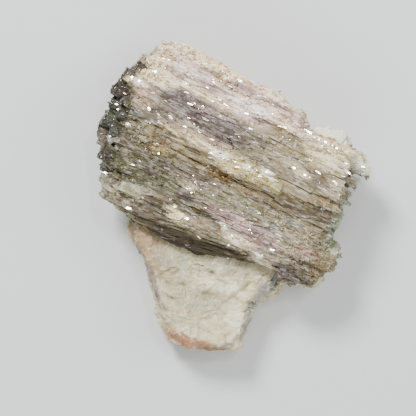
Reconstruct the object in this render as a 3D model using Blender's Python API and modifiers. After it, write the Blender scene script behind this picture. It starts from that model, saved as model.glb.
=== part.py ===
"""Watermelon tourmaline specimen, lying on its back.

A slab of tourmaline, lilac inside with a green rind, lies on a piece of white quartz that stands out below it
as a wedge. The tourmaline grew as a bundle of parallel crystals, so its face is a row of long striated blades
with broken ends. The two stones meet along a bed and two upright walls. +Z is up, +Y is the specimen's top.

Everything is modelled in millimetres, and settle() scales the two finished stones to metres. Two directions
are used on the face: u runs along the crystals and v across them.
"""

import math
import random

import bmesh
import bpy
from mathutils import Matrix, Vector, noise

MM = 0.001
TOURMALINE, QUARTZ = "tourmaline_crystals", "quartz_matrix"
SEED = 20

# Heights of the two stones and the direction of the crystals
BED = 9.0  # where the tourmaline lies on the quartz
CREST = 25.3  # highest line of the tourmaline's face
JOINT_GAP = 0.3  # left between the two stones, so that their faces do not share a surface
C_AXIS_DEG = -26.5  # direction of the crystals, from +X

# Outline of the tourmaline seen from above, clockwise from the upper left corner
OUTLINE_LEFT_END = [
    (-27.0, -7.0), (-29.5, -5.0), (-31.0, -2.5), (-33.5, -1.5), (-35.5, 0.5), (-36.0, 3.5),
    (-36.5, 5.5), (-36.0, 8.0), (-37.0, 16.0), (-37.0, 20.5), (-35.0, 23.5), (-33.5, 26.5), (-33.0, 30.5),
]
OUTLINE_TOP_EDGE = [
    (-31.0, 33.5), (-24.5, 38.5), (-20.0, 42.0), (-16.5, 42.7), (-11.5, 41.0), (-7.5, 38.5), (-3.0, 36.0),
    (2.0, 32.7), (6.0, 31.2), (10.0, 29.2), (13.0, 27.0), (16.0, 24.2), (19.0, 21.5), (20.5, 18.5),
]
OUTLINE_RIGHT_END = [
    (24.5, 15.8), (30.0, 13.4), (33.0, 12.0), (33.5, 5.5), (32.0, 1.5), (30.6, -2.5), (29.4, -8.5),
    (27.7, -11.5), (28.2, -13.5), (30.0, -15.0), (29.4, -17.0), (28.5, -19.5), (25.5, -21.7),
]
OUTLINE_LOWER_EDGE = [
    (21.5, -24.2), (17.5, -24.6), (13.5, -24.0), (11.0, -21.0), (6.0, -18.5), (0.5, -18.0), (-5.5, -17.0),
    (-10.0, -16.0), (-15.5, -14.8), (-21.5, -11.5),
]
FIRST_CONTACT_POINT = 3  # of the lower edge: from here on it meets the quartz wedge

# Relief of the tourmaline's face
CREST_V, CREST_FALL = 14.0, 0.0032  # the crest's place across the crystals, and how fast the face curves down
LEDGE_START, LEDGE_START_WIDTH = -24.0, 10.0  # along the crystals, where the ledge begins
LEDGE_V, LEDGE_RISE = 4.2, 0.13  # its line across the crystals, and how that line drifts to the right
LEDGE_DROP, LEDGE_WIDTH = 2.1, 1.6
FLANK_WIDTH, FLANK_DROP = 4.2, 3.4  # strip along the wedge where the face falls away
RIGHT_FALL_START, RIGHT_FALL = 22.0, 0.13
END_SLOPE_FOOT = 13.0  # height above which the broken ends lean back
LEFT_END_SLOPE, RIGHT_END_SLOPE = 0.62, 0.22

# Blades of the face
BLADE_FOOT, BLADE_FOOT_SPREAD = 12.0, 0.8
BLADE_WIDTHS, BLADE_LENGTHS = (2.0, 4.4), (13.0, 34.0)
BLADE_OVERLAPS = (1.1, 1.24)  # how much wider a blade is than its place in the row
BLADE_LAP = 0.5  # how far a blade reaches over the next one of its row
BLADE_STEP, BLADE_LEAN = 0.42, 0.3  # how neighbours differ in height, and how their tops lean sideways
BLADE_SLANT = 0.35  # skew of a broken end
BLADE_STEEPEST = 0.4  # most of a blade's length that its sloping end may take
WIDE_BLADE = 3.0  # from this width on, a blade has three ridges and not two
STRIATION, STRIATION_SPREAD = 0.22, (0.3, 1.3)  # height of the fine ridges, and how it varies
FIRST_ROW_INSET, ROW_END_INSET = 0.6, (-0.2, 1.0)
ROW_JITTER = 0.15

# Solid under the blades, and the shape that trims them, as (height, inset from the outline)
CORE_STATIONS = ((BED - 2.0, 2.4), (BED + 2.5, 1.6), (16.0, 2.8))
TRIM_STATIONS = ((BED - 3.0, 0.6), (BED + 4.0, -0.3), (18.0, 0.1), (23.0, 1.2), (31.0, 4.2))

# Crystals that show their broken ends at both ends of the bundle, one layer above another
END_LAYERS = (10.9, 13.9, 16.9, 19.9)
END_RADII, END_LENGTH = (1.4, 2.4), 9.0
END_PITCH = (1.5, 1.9)  # distance to the next crystal, in radii
END_REACH = (-1.2, 0.1)  # how far the tips stand out past the outline
END_COVER = 0.6  # least depth of such a crystal below the face
END_MARGIN, END_JITTER = 1.8, 0.4

# Stations of a crystal along its length, as (share of the length, share of the radius)
BROKEN_END = ((0.0, 0.85), (0.93, 1.0), (1.0, 0.78))
TAPERED = ((0.0, 0.7), (0.12, 1.0), (0.9, 1.0), (1.0, 0.6))
CRYSTAL_SIDES, SIDE_SPREAD, REACH_SPREAD = 7, 0.22, (0.86, 1.08)

# Crystals with free round ends at the right tip: end point, radius, length, centre height
TIP_CRYSTALS = [
    ((36.9, 7.2), 3.0, 16.0, 16.2),
    ((33.2, 3.2), 2.6, 14.0, 15.4),
    ((19.7, 19.4), 2.6, 15.0, 19.5),
]
# Striated crystals along the contact with the wedge: start, end, height at each end, radius
FLANK_CRYSTALS = [
    ((-26.0, -8.6), (5.0, -18.3), 17.2, 17.6, 2.5),
    ((-24.5, -9.6), (-1.0, -17.2), 15.6, 16.2, 2.4),
    ((-28.5, -4.6), (-10.0, -12.6), 19.0, 19.6, 2.2),
    ((-33.2, 0.2), (-17.0, -8.6), 18.6, 20.0, 2.1),
]

# Quartz slab under the tourmaline, as (height, inset from the tourmaline's outline)
SLAB_STATIONS = ((-2.0, 4.2), (3.0, 2.8), (BED + 2.0, 2.2))

# Quartz wedge below the tourmaline: points round its foot, and the points above them round its front face
WEDGE_FOOT = [
    (-27.5, -3.0), (-29.0, -10.5), (-27.0, -13.5), (-24.5, -19.0), (-22.0, -24.0), (-20.5, -31.0),
    (-19.5, -35.0), (-16.0, -38.7), (-12.5, -40.5), (-7.5, -41.5), (-3.0, -42.2), (0.5, -43.0), (2.5, -42.0),
    (3.0, -39.0), (4.2, -35.5), (6.0, -31.5), (9.5, -28.6), (13.0, -25.8), (15.0, -18.0), (0.0, -5.0),
]
WEDGE_FRONT = [
    (-26.5, -3.0), (-26.5, -11.5), (-25.0, -15.0), (-23.5, -19.0), (-21.0, -24.0), (-19.5, -31.0),
    (-17.5, -35.0), (-14.0, -37.8), (-10.5, -39.0), (-6.5, -39.8), (-3.0, -40.4), (-1.0, -39.5), (0.7, -38.0),
    (2.2, -36.0), (3.0, -33.0), (4.2, -29.5), (7.6, -25.0), (10.8, -20.3), (9.0, -12.0), (-2.0, -3.0),
]
WEDGE_FRONT_HEIGHT = 16.5
WEDGE_TIP_DROP = 2.2  # how much lower the front face lies at the wedge's tip
WEDGE_SHOULDER = 0.45  # share of the height at which the sides are still as wide as the foot
WEDGE_FOOT_INSET = 1.2  # how far the sides draw in again below that

# Quartz lump that stands beside the tourmaline near its right tip: centre, size, turn
LUMP_CENTRE, LUMP_SIZE, LUMP_TURN_DEG = (26.4, 14.6, 8.5), (13.0, 7.0, 19.0), -24.0

# Quartz showing past the tourmaline's edges: centre, length, how far it stands out, direction
RIMS = [
    ((-24.0, 37.2), 20.0, 4.0, 40.0),
    ((-4.5, 35.0), 22.0, 4.2, -32.0),
    ((6.8, 29.0), 9.0, 4.6, -26.0),
    ((19.0, -22.3), 15.0, 5.4, -4.0),
]
RIM_HEIGHT, RIM_MIDDLE = 10.0, 5.0

# Weathering of the quartz: voxel size, two scales of roughness as (strength, size, seed), share of faces kept
WEATHER_VOXEL = 1.3
WEATHER_NOISES = ((0.9, 9.0, 3.0), (0.5, 3.4, 8.0))
WEATHER_KEPT = 0.16

# Walls of the room that belongs to the quartz
ROOM_FLOOR, ROOM_SKY, ROOM_REACH = -8.0, 45.0, 90.0
ROOM_LEFT = (-50.0, -1.0)  # where the wedge's wall leaves the specimen on the left
ROOM_RIGHT = ((14.0, -ROOM_REACH), (12.5, -30.0))
LUMP_WALL = [(20.9, 18.9), (24.9, 16.0), (33.6, 12.2), (50.0, 14.0), (30.0, 40.0)]
CONTACT_SHIFT = Vector((-0.6, -1.2))  # direction in which a gap moves the contact with the wedge
LUMP_WALL_SHRINK = 3.0  # how much a gap draws in the lump's walls, for 1 mm

TO_CRYSTAL = Matrix.Rotation(-math.radians(C_AXIS_DEG), 2)
FROM_CRYSTAL = Matrix.Rotation(math.radians(C_AXIS_DEG), 2)
OUTLINE = [Vector(p) for p in OUTLINE_LEFT_END + OUTLINE_TOP_EDGE + OUTLINE_RIGHT_END + OUTLINE_LOWER_EDGE]
CRYSTAL_OUTLINE = [TO_CRYSTAL @ p for p in OUTLINE]
CONTACT = [Vector(p) for p in OUTLINE_LOWER_EDGE[FIRST_CONTACT_POINT:]] + [OUTLINE[0]]


def clear_scene():
    for obj in list(bpy.data.objects):
        bpy.data.objects.remove(obj)


def collection(name, helper=True):
    made = bpy.data.collections.new(name)
    bpy.context.scene.collection.children.link(made)
    made.hide_render = helper
    return made


def stone_material(name, colour, roughness):
    material = bpy.data.materials.new(name)
    material.use_nodes = True
    shader = material.node_tree.nodes["Principled BSDF"]
    shader.inputs["Base Color"].default_value = (*colour, 1.0)
    shader.inputs["Roughness"].default_value = roughness
    shader.inputs["Metallic"].default_value = 0.0
    return material


def mesh_object(name, bm, holder):
    """A helper object in the given collection from a bmesh, with its faces turned outwards."""
    bmesh.ops.recalc_face_normals(bm, faces=bm.faces)
    mesh = bpy.data.meshes.new(name)
    bm.to_mesh(mesh)
    bm.free()
    obj = bpy.data.objects.new(name, mesh)
    obj.hide_render = True
    obj.display_type = "WIRE"
    holder.objects.link(obj)
    return obj


def join_by(obj, operation, other):
    """A Boolean with one object, or with every object of a collection, applied at once."""
    modifier = obj.modifiers.new(operation.title(), "BOOLEAN")
    modifier.operation = operation
    modifier.solver = "EXACT"
    if isinstance(other, bpy.types.Collection):
        modifier.operand_type = "COLLECTION"
        modifier.collection = other
    else:
        modifier.object = other
    bake(obj)


def bake(obj):
    """Replaces an object's mesh by what its modifiers make of it."""
    bpy.context.view_layer.update()
    evaluated = obj.evaluated_get(bpy.context.evaluated_depsgraph_get())
    mesh = bpy.data.meshes.new_from_object(evaluated)
    obj.modifiers.clear()
    obj.data = mesh


def smooth_step(edge, width, value):
    """0 below edge - width / 2, 1 above edge + width / 2, and a soft rise between."""
    t = min(1.0, max(0.0, (value - edge) / width + 0.5))
    return t * t * (3.0 - 2.0 * t)


def to_segment(point, start, end):
    """Distance from a point to a segment, seen from above."""
    along = end - start
    share = min(1.0, max(0.0, (point - start).dot(along) / along.length_squared))
    return (point - start - along * share).length


def ends_at(v):
    """Where the line at v enters and leaves the outline, along the crystals, or None outside it."""
    crossings = []
    for a, b in zip(CRYSTAL_OUTLINE, CRYSTAL_OUTLINE[1:] + CRYSTAL_OUTLINE[:1]):
        if (a.y - v) * (b.y - v) < 0.0:
            crossings.append(a.x + (b.x - a.x) * (v - a.y) / (b.y - a.y))
    return (min(crossings), max(crossings)) if crossings else None


def face_height(u, v):
    """Height of the tourmaline's face: a low crest, a ledge below it, and a flank towards the wedge."""
    height = CREST - CREST_FALL * (v - CREST_V) ** 2
    ledge_v = LEDGE_V + LEDGE_RISE * max(0.0, u)
    below_ledge = 1.0 - smooth_step(ledge_v, LEDGE_WIDTH, v)
    height -= LEDGE_DROP * below_ledge * smooth_step(LEDGE_START, LEDGE_START_WIDTH, u)
    height -= RIGHT_FALL * max(0.0, u - RIGHT_FALL_START)
    place = FROM_CRYSTAL @ Vector((u, v))
    distance = min(to_segment(place, a, b) for a, b in zip(CONTACT, CONTACT[1:]))
    height -= FLANK_DROP * (1.0 - smooth_step(FLANK_WIDTH / 2, FLANK_WIDTH, distance))
    return height


def end_slope(height):
    """How far the left and right end have leant back at a height."""
    above = max(0.0, height - END_SLOPE_FOOT)
    return LEFT_END_SLOPE * above, RIGHT_END_SLOPE * above


def shrunk(points, distance):
    """The outline drawn in towards its middle by a distance at its farthest point, or widened if negative."""
    middle = sum(points, Vector((0.0, 0.0))) / len(points)
    share = distance / max((p - middle).length for p in points)
    return [p.lerp(middle, share) for p in points]


def levels(points, stations):
    """Rings round an outline seen from above, one for each (height, inset)."""
    return [[(*p, height) for p in shrunk(points, inset)] for height, inset in stations]


def loft(name, rings, holder):
    """A closed solid through rings of points. Every ring has as many points, in the same order."""
    bm = bmesh.new()
    made = [[bm.verts.new(point) for point in ring] for ring in rings]
    for lower, upper in zip(made, made[1:]):
        for i, vert in enumerate(lower):
            bm.faces.new((lower[i - 1], vert, upper[i], upper[i - 1]))
    bm.faces.new(made[0])
    bm.faces.new(made[-1])
    bm.normal_update()
    bmesh.ops.triangulate(bm, faces=bm.faces)
    return mesh_object(name, bm, holder)


def crystal(name, start, end, radius, stations, rng, holder):
    """A prism with uneven sides from start to end, scaled at stations along its length."""
    axis = end - start
    turn = axis.to_track_quat("Z", "Y").to_matrix()
    corners = []
    for i in range(CRYSTAL_SIDES):
        angle = math.tau * (i + rng.uniform(-SIDE_SPREAD, SIDE_SPREAD)) / CRYSTAL_SIDES
        reach = radius * rng.uniform(*REACH_SPREAD)
        corners.append(turn @ Vector((math.cos(angle) * reach, math.sin(angle) * reach, 0.0)))
    rings = [[start + axis * share + corner * scale for corner in corners] for share, scale in stations]
    return loft(name, rings, holder)


def blade(name, v, width, u_start, u_end, open_ends, rng, holder):
    """One long blade of the face. Its top follows the relief with a few fine ridges, and an open end is
    broken off on the slope of the specimen's own end."""
    step = rng.uniform(-BLADE_STEP, BLADE_STEP)
    lean = rng.uniform(-BLADE_LEAN, BLADE_LEAN)
    foot = BLADE_FOOT + rng.uniform(-BLADE_FOOT_SPREAD, BLADE_FOOT_SPREAD)
    ridges = 2 if width < WIDE_BLADE else 3
    across = [-0.5 + i / (2 * ridges) for i in range(2 * ridges + 1)]
    signs = [1.0 if i % 2 else -1.0 for i in range(len(across))]
    lifts = [sign * STRIATION * rng.uniform(*STRIATION_SPREAD) + lean * a for sign, a in zip(signs, across)]
    slants = rng.uniform(-BLADE_SLANT, BLADE_SLANT), rng.uniform(-BLADE_SLANT, BLADE_SLANT)
    steepest = BLADE_STEEPEST * (u_end - u_start) / (CREST - END_SLOPE_FOOT)
    slopes = min(LEFT_END_SLOPE, steepest), -min(RIGHT_END_SLOPE, steepest)
    rings = []
    for u, is_open, slope, slant in zip((u_start, u_end), open_ends, slopes, slants):
        top = face_height(u, v) + step
        section = [(-0.5, foot)] + [(a, top + lift) for a, lift in zip(across, lifts)] + [(0.5, foot)]
        ring = []
        for a, z in section:
            lean_back = slope * (z - END_SLOPE_FOOT) if is_open else 0.0
            place = FROM_CRYSTAL @ Vector((u + lean_back + slant * a * width, v + a * width))
            ring.append((*place, z))
        rings.append(ring)
    return loft(name, rings, holder)


def face_blades(rng, holder):
    """Rows of blades side by side across the face, each row broken into a few lengths."""
    v = min(p.y for p in CRYSTAL_OUTLINE) + FIRST_ROW_INSET
    top = max(p.y for p in CRYSTAL_OUTLINE)
    row = 0
    while v < top:
        width = rng.uniform(*BLADE_WIDTHS)
        middle = v + width / 2
        ends = ends_at(middle)
        v += width
        row += 1
        if not ends:
            continue
        u, last = ends[0] + rng.uniform(*ROW_END_INSET), ends[1] - rng.uniform(*ROW_END_INSET)
        first = True
        while u < last:
            stop = u + rng.uniform(*BLADE_LENGTHS)
            if last - stop < BLADE_LENGTHS[0] / 2:
                stop = last
            full_width = width * rng.uniform(*BLADE_OVERLAPS)
            place = middle + rng.uniform(-ROW_JITTER, ROW_JITTER)
            open_ends = (first, stop == last)
            blade(f"blade_{row:02d}_{round(u)}", place, full_width, u, stop, open_ends, rng, holder)
            first = False
            u = stop - BLADE_LAP if stop < last else last


def end_crystals(rng, holder):
    """Layers of crystals that show their broken ends, at both ends of the bundle."""
    lowest = min(p.y for p in CRYSTAL_OUTLINE) + END_MARGIN
    highest = max(p.y for p in CRYSTAL_OUTLINE) - END_MARGIN
    for layer, layer_height in enumerate(END_LAYERS):
        v = lowest + rng.uniform(0.0, END_MARGIN)
        while v < highest:
            radius = rng.uniform(*END_RADII)
            for side, outer, slope in zip((-1.0, 1.0), ends_at(v), end_slope(layer_height)):
                height = layer_height + rng.uniform(-END_JITTER, END_JITTER)
                tip = outer + side * (rng.uniform(*END_REACH) - slope)
                if height + radius + END_COVER > face_height(tip, v):
                    continue
                inner = tip - side * END_LENGTH
                start = Vector((*(FROM_CRYSTAL @ Vector((inner, v))), height))
                tip_v = v + rng.uniform(-END_JITTER, END_JITTER)
                end = Vector((*(FROM_CRYSTAL @ Vector((tip, tip_v))), height))
                crystal(f"end_{layer}_{round(v)}_{side:.0f}", start, end, radius, BROKEN_END, rng, holder)
            v += radius * rng.uniform(*END_PITCH)


def tip_crystals(rng, holder):
    """The crystals whose round ends stand free at the right tip."""
    along = FROM_CRYSTAL @ Vector((1.0, 0.0))
    for i, (tip, radius, length, height) in enumerate(TIP_CRYSTALS):
        start = Vector(tip) - along * length
        dome = radius / length
        stations = ((0.0, 0.9), (1.0 - 0.9 * dome, 1.0), (1.0 - 0.3 * dome, 0.8), (1.0, 0.42))
        ends = Vector((*start, height + 0.6)), Vector((*tip, height))
        crystal(f"tip_{i}", *ends, radius, stations, rng, holder)


def flank_crystals(rng, holder):
    """Long crystals along the contact with the wedge."""
    for i, (start, end, start_height, end_height, radius) in enumerate(FLANK_CRYSTALS):
        ends = Vector((*start, start_height)), Vector((*end, end_height))
        crystal(f"flank_{i}", *ends, radius, TAPERED, rng, holder)


def matrix_space(name, gap, holder):
    """The room that belongs to the quartz: everything below the bed, the wedge's side of the contact, and the
    lump's corner. A gap draws its walls back from the tourmaline."""
    walls = collection(name + "_walls")
    right = [Vector((x - gap, y)) for x, y in ROOM_RIGHT]
    left = [Vector(ROOM_LEFT) - Vector((0.0, gap)), Vector((-ROOM_REACH, -ROOM_REACH))]
    wedge = [p + CONTACT_SHIFT * gap for p in CONTACT] + left + right
    lump = shrunk([Vector(p) for p in LUMP_WALL], LUMP_WALL_SHRINK * gap)
    for part, outline in (("wedge", wedge), ("lump", lump)):
        loft(f"{name}_{part}", levels(outline, ((ROOM_FLOOR + 1.0, 0.0), (ROOM_SKY, 0.0))), walls)
    square = [Vector((x, y)) * ROOM_REACH for x, y in ((-1, -1), (1, -1), (1, 1), (-1, 1))]
    space = loft(name, levels(square, ((ROOM_FLOOR, 0.0), (BED - gap, 0.0))), holder)
    join_by(space, "UNION", walls)
    return space


def fill_voids(obj):
    """Removes the sealed voids that joined crystals leave inside, so that only the outer skin is left."""
    bm = bmesh.new()
    bm.from_mesh(obj.data)
    left = set(bm.faces)
    skins = []
    while left:
        skin, edge_of_skin = set(), {left.pop()}
        while edge_of_skin:
            face = edge_of_skin.pop()
            skin.add(face)
            near = {other for edge in face.edges for other in edge.link_faces}
            edge_of_skin |= near & left
            left -= near
        skins.append(skin)
    outer = max(skins, key=len)
    inner = [face for face in bm.faces if face not in outer]
    bmesh.ops.delete(bm, geom=inner, context="FACES")
    bm.to_mesh(obj.data)
    bm.free()


def tourmaline(rng, helpers, holder):
    """Blades and a core joined and cut to the outline, with the free crystals added and the quartz's room
    left out."""
    blades = collection("blades")
    face_blades(rng, blades)
    stone = loft(TOURMALINE, levels(OUTLINE, CORE_STATIONS), holder)
    join_by(stone, "UNION", blades)
    join_by(stone, "INTERSECT", loft("trim", levels(OUTLINE, TRIM_STATIONS), helpers))
    crystals = collection("crystals")
    end_crystals(rng, crystals)
    tip_crystals(rng, crystals)
    flank_crystals(rng, crystals)
    join_by(stone, "UNION", crystals)
    join_by(stone, "DIFFERENCE", matrix_space("quartz_room", 0.0, helpers))
    fill_voids(stone)
    return stone


def lump_of_rock(name, centre, size, turn_deg, holder):
    bm = bmesh.new()
    bmesh.ops.create_icosphere(bm, subdivisions=2, radius=0.5)
    place = Matrix.Translation(centre) @ Matrix.Rotation(math.radians(turn_deg), 4, "Z")
    bmesh.ops.transform(bm, matrix=place @ Matrix.Diagonal((*size, 1.0)), verts=bm.verts)
    return mesh_object(name, bm, holder)


def wedge(holder):
    """The wedge's sides rise to a shoulder and then lean in to the front face, which dips to the tip."""
    tip_y, contact_y = min(y for _, y in WEDGE_FRONT), max(y for _, y in WEDGE_FRONT)
    dip = WEDGE_TIP_DROP / (contact_y - tip_y)
    front = [(x, y, WEDGE_FRONT_HEIGHT - dip * (contact_y - y)) for x, y in WEDGE_FRONT]
    shoulder = [(x, y, z * WEDGE_SHOULDER) for (x, y), (_, _, z) in zip(WEDGE_FOOT, front)]
    foot = [(*p, SLAB_STATIONS[0][0]) for p in shrunk([Vector(p) for p in WEDGE_FOOT], WEDGE_FOOT_INSET)]
    loft("wedge", [foot, shoulder, front], holder)


def roughen(obj, strength, size, seed):
    """Moves each point along its normal by noise, in millimetres."""
    offset = Vector((seed, 2.0 * seed, 3.0 * seed))
    for vert in obj.data.vertices:
        place = vert.co / size + offset
        vert.co += vert.normal * strength * (noise.noise(place) + 0.5 * noise.noise(place * 2.3))
    obj.data.update()


def flatten_underside(stone):
    """Cuts the stone at the plane that it rests on and closes the cut."""
    bm = bmesh.new()
    bm.from_mesh(stone.data)
    cut = bmesh.ops.bisect_plane(
        bm, geom=bm.verts[:] + bm.edges[:] + bm.faces[:], dist=1e-5,
        plane_co=(0.0, 0.0, 0.0), plane_no=(0.0, 0.0, -1.0), clear_outer=True,
    )
    rim = [g for g in cut["geom_cut"] if isinstance(g, bmesh.types.BMEdge)]
    bmesh.ops.triangle_fill(bm, edges=rim, use_beauty=True)
    bmesh.ops.recalc_face_normals(bm, faces=bm.faces)
    bm.to_mesh(stone.data)
    bm.free()


def quartz(helpers, holder):
    """Slab, wedge, lump and rims joined, weathered into one rough stone, cut to its room and flat below."""
    parts = collection("quartz_parts")
    stone = loft(QUARTZ, levels(OUTLINE, SLAB_STATIONS), holder)
    wedge(parts)
    lump_of_rock("lump", LUMP_CENTRE, LUMP_SIZE, LUMP_TURN_DEG, parts)
    for i, (centre, length, reach, turn) in enumerate(RIMS):
        lump_of_rock(f"rim_{i}", (*centre, RIM_MIDDLE), (length, reach, RIM_HEIGHT), turn, parts)
    join_by(stone, "UNION", parts)
    remesh = stone.modifiers.new("Weather", "REMESH")
    remesh.mode = "VOXEL"
    remesh.voxel_size = WEATHER_VOXEL
    bake(stone)
    for strength, size, seed in WEATHER_NOISES:
        roughen(stone, strength, size, seed)
    thin = stone.modifiers.new("Facets", "DECIMATE")
    thin.ratio = WEATHER_KEPT
    bake(stone)
    join_by(stone, "INTERSECT", matrix_space("quartz_limits", JOINT_GAP, helpers))
    flatten_underside(stone)
    fill_voids(stone)
    return stone


def settle(stones):
    """Puts the middle of the specimen's underside at the origin and turns millimetres into metres."""
    corners = [vert.co for stone in stones for vert in stone.data.vertices]
    low = [min(c[i] for c in corners) for i in range(3)]
    high = [max(c[i] for c in corners) for i in range(3)]
    shift = Matrix.Translation((-(low[0] + high[0]) / 2, -(low[1] + high[1]) / 2, -low[2]))
    for stone in stones:
        stone.data.transform(Matrix.Scale(MM, 4) @ shift)


def finish(stone, material):
    stone.hide_render = False
    stone.display_type = "TEXTURED"
    stone.data.materials.clear()
    stone.data.materials.append(material)


def main():
    clear_scene()
    rng = random.Random(SEED)
    helpers = collection("cutters")
    specimen = collection("watermelon_tourmaline_specimen", helper=False)
    crystals = tourmaline(rng, helpers, specimen)
    matrix = quartz(helpers, specimen)
    finish(crystals, stone_material("lilac and green tourmaline", (0.42, 0.36, 0.31), 0.35))
    finish(matrix, stone_material("white quartz", (0.72, 0.68, 0.60), 0.55))
    settle((crystals, matrix))


main()
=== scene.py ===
"""Watermelon tourmaline specimen: the finished surfaces of the two stones, and a plain stage.

The tourmaline is a mass of parallel crystals: a stepped body, long striated prisms along it, and thousands of
small broken grains and bright flakes on its surface. The quartz is one weathered, milky rock.

Places on the tourmaline are given as u, v in millimetres: u runs along the crystals and v across them, seen
from above and measured from the middle of the specimen. Places on the quartz are x, y in millimetres.
"""

import itertools
import math
import random

import bmesh
import bpy
import numpy as np
from bpy.props import FloatProperty, FloatVectorProperty, IntProperty, PointerProperty
from mathutils import Euler, Matrix, Vector
from mathutils.bvhtree import BVHTree


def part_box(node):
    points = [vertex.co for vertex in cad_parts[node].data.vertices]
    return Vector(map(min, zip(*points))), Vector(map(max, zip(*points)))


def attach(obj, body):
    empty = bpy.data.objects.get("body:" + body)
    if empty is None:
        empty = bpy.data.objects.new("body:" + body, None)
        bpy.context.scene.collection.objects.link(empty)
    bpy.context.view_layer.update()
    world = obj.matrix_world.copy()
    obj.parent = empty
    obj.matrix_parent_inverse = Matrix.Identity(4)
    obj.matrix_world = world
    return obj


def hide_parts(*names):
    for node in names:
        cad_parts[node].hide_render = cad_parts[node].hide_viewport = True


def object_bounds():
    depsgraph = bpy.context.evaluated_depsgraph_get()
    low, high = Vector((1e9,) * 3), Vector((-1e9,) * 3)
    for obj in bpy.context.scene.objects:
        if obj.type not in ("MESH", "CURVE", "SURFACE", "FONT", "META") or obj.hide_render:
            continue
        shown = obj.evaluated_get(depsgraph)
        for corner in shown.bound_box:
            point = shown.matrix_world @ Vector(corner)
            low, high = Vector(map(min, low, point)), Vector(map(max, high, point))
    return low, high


bl_info = {
    "name": "Watermelon Tourmaline Specimen",
    "version": (1, 0, 0),
    "blender": (4, 5, 0),
    "location": "3D View > Sidebar > Specimen",
    "description": "Finishes the crystals and the quartz of a tourmaline specimen, and sets a plain stage",
    "category": "Object",
}

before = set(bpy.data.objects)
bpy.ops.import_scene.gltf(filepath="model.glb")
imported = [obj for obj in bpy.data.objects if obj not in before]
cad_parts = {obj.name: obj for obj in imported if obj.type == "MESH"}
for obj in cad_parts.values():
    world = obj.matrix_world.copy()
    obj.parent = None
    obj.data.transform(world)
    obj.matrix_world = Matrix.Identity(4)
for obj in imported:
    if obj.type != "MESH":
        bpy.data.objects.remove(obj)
CAD_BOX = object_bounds()

MM = 0.001
# Of these, depth is painted light and shade: the finish makes raised places lighter and hollows darker with
# it.
LOOKS = ("tone", "depth", "gloss", "tint")  # what each crystal's points carry for the finish
CRYSTAL_NODE, QUARTZ_NODE = "tourmaline_crystals", "quartz_matrix"
AXIS = math.radians(-26.5)  # direction of the crystals, from +X
ALONG = np.array((math.cos(AXIS), math.sin(AXIS), 0.0))
ACROSS = np.array((-math.sin(AXIS), math.cos(AXIS), 0.0))
BOX_MARGIN = 0.02  # kept between the finished surface and the solid model's box
UP = Vector((0.0, 0.0, 1.0))
UNDERSIDE = -0.3  # a normal that points further down than this belongs to the underside
VIEW_CENTRE = (-6.9, -3.5, -4.0)  # what the camera looks at: x, y and the depth below the highest point

# Soft lights: name, place, width in metres, power. The power of the first is a setting.
KEY_LIGHT = ("key", (-0.27, 0.48, 0.62), 0.24)
FILL_LIGHTS = [
    ("side fill", (0.62, 0.10, 0.60), 0.6, 4.3), ("front fill", (-0.15, -0.66, 0.62), 0.6, 4.4),
    ("sparkle", (0.16, 0.20, 0.7), 0.06, 1.1),
]

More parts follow.
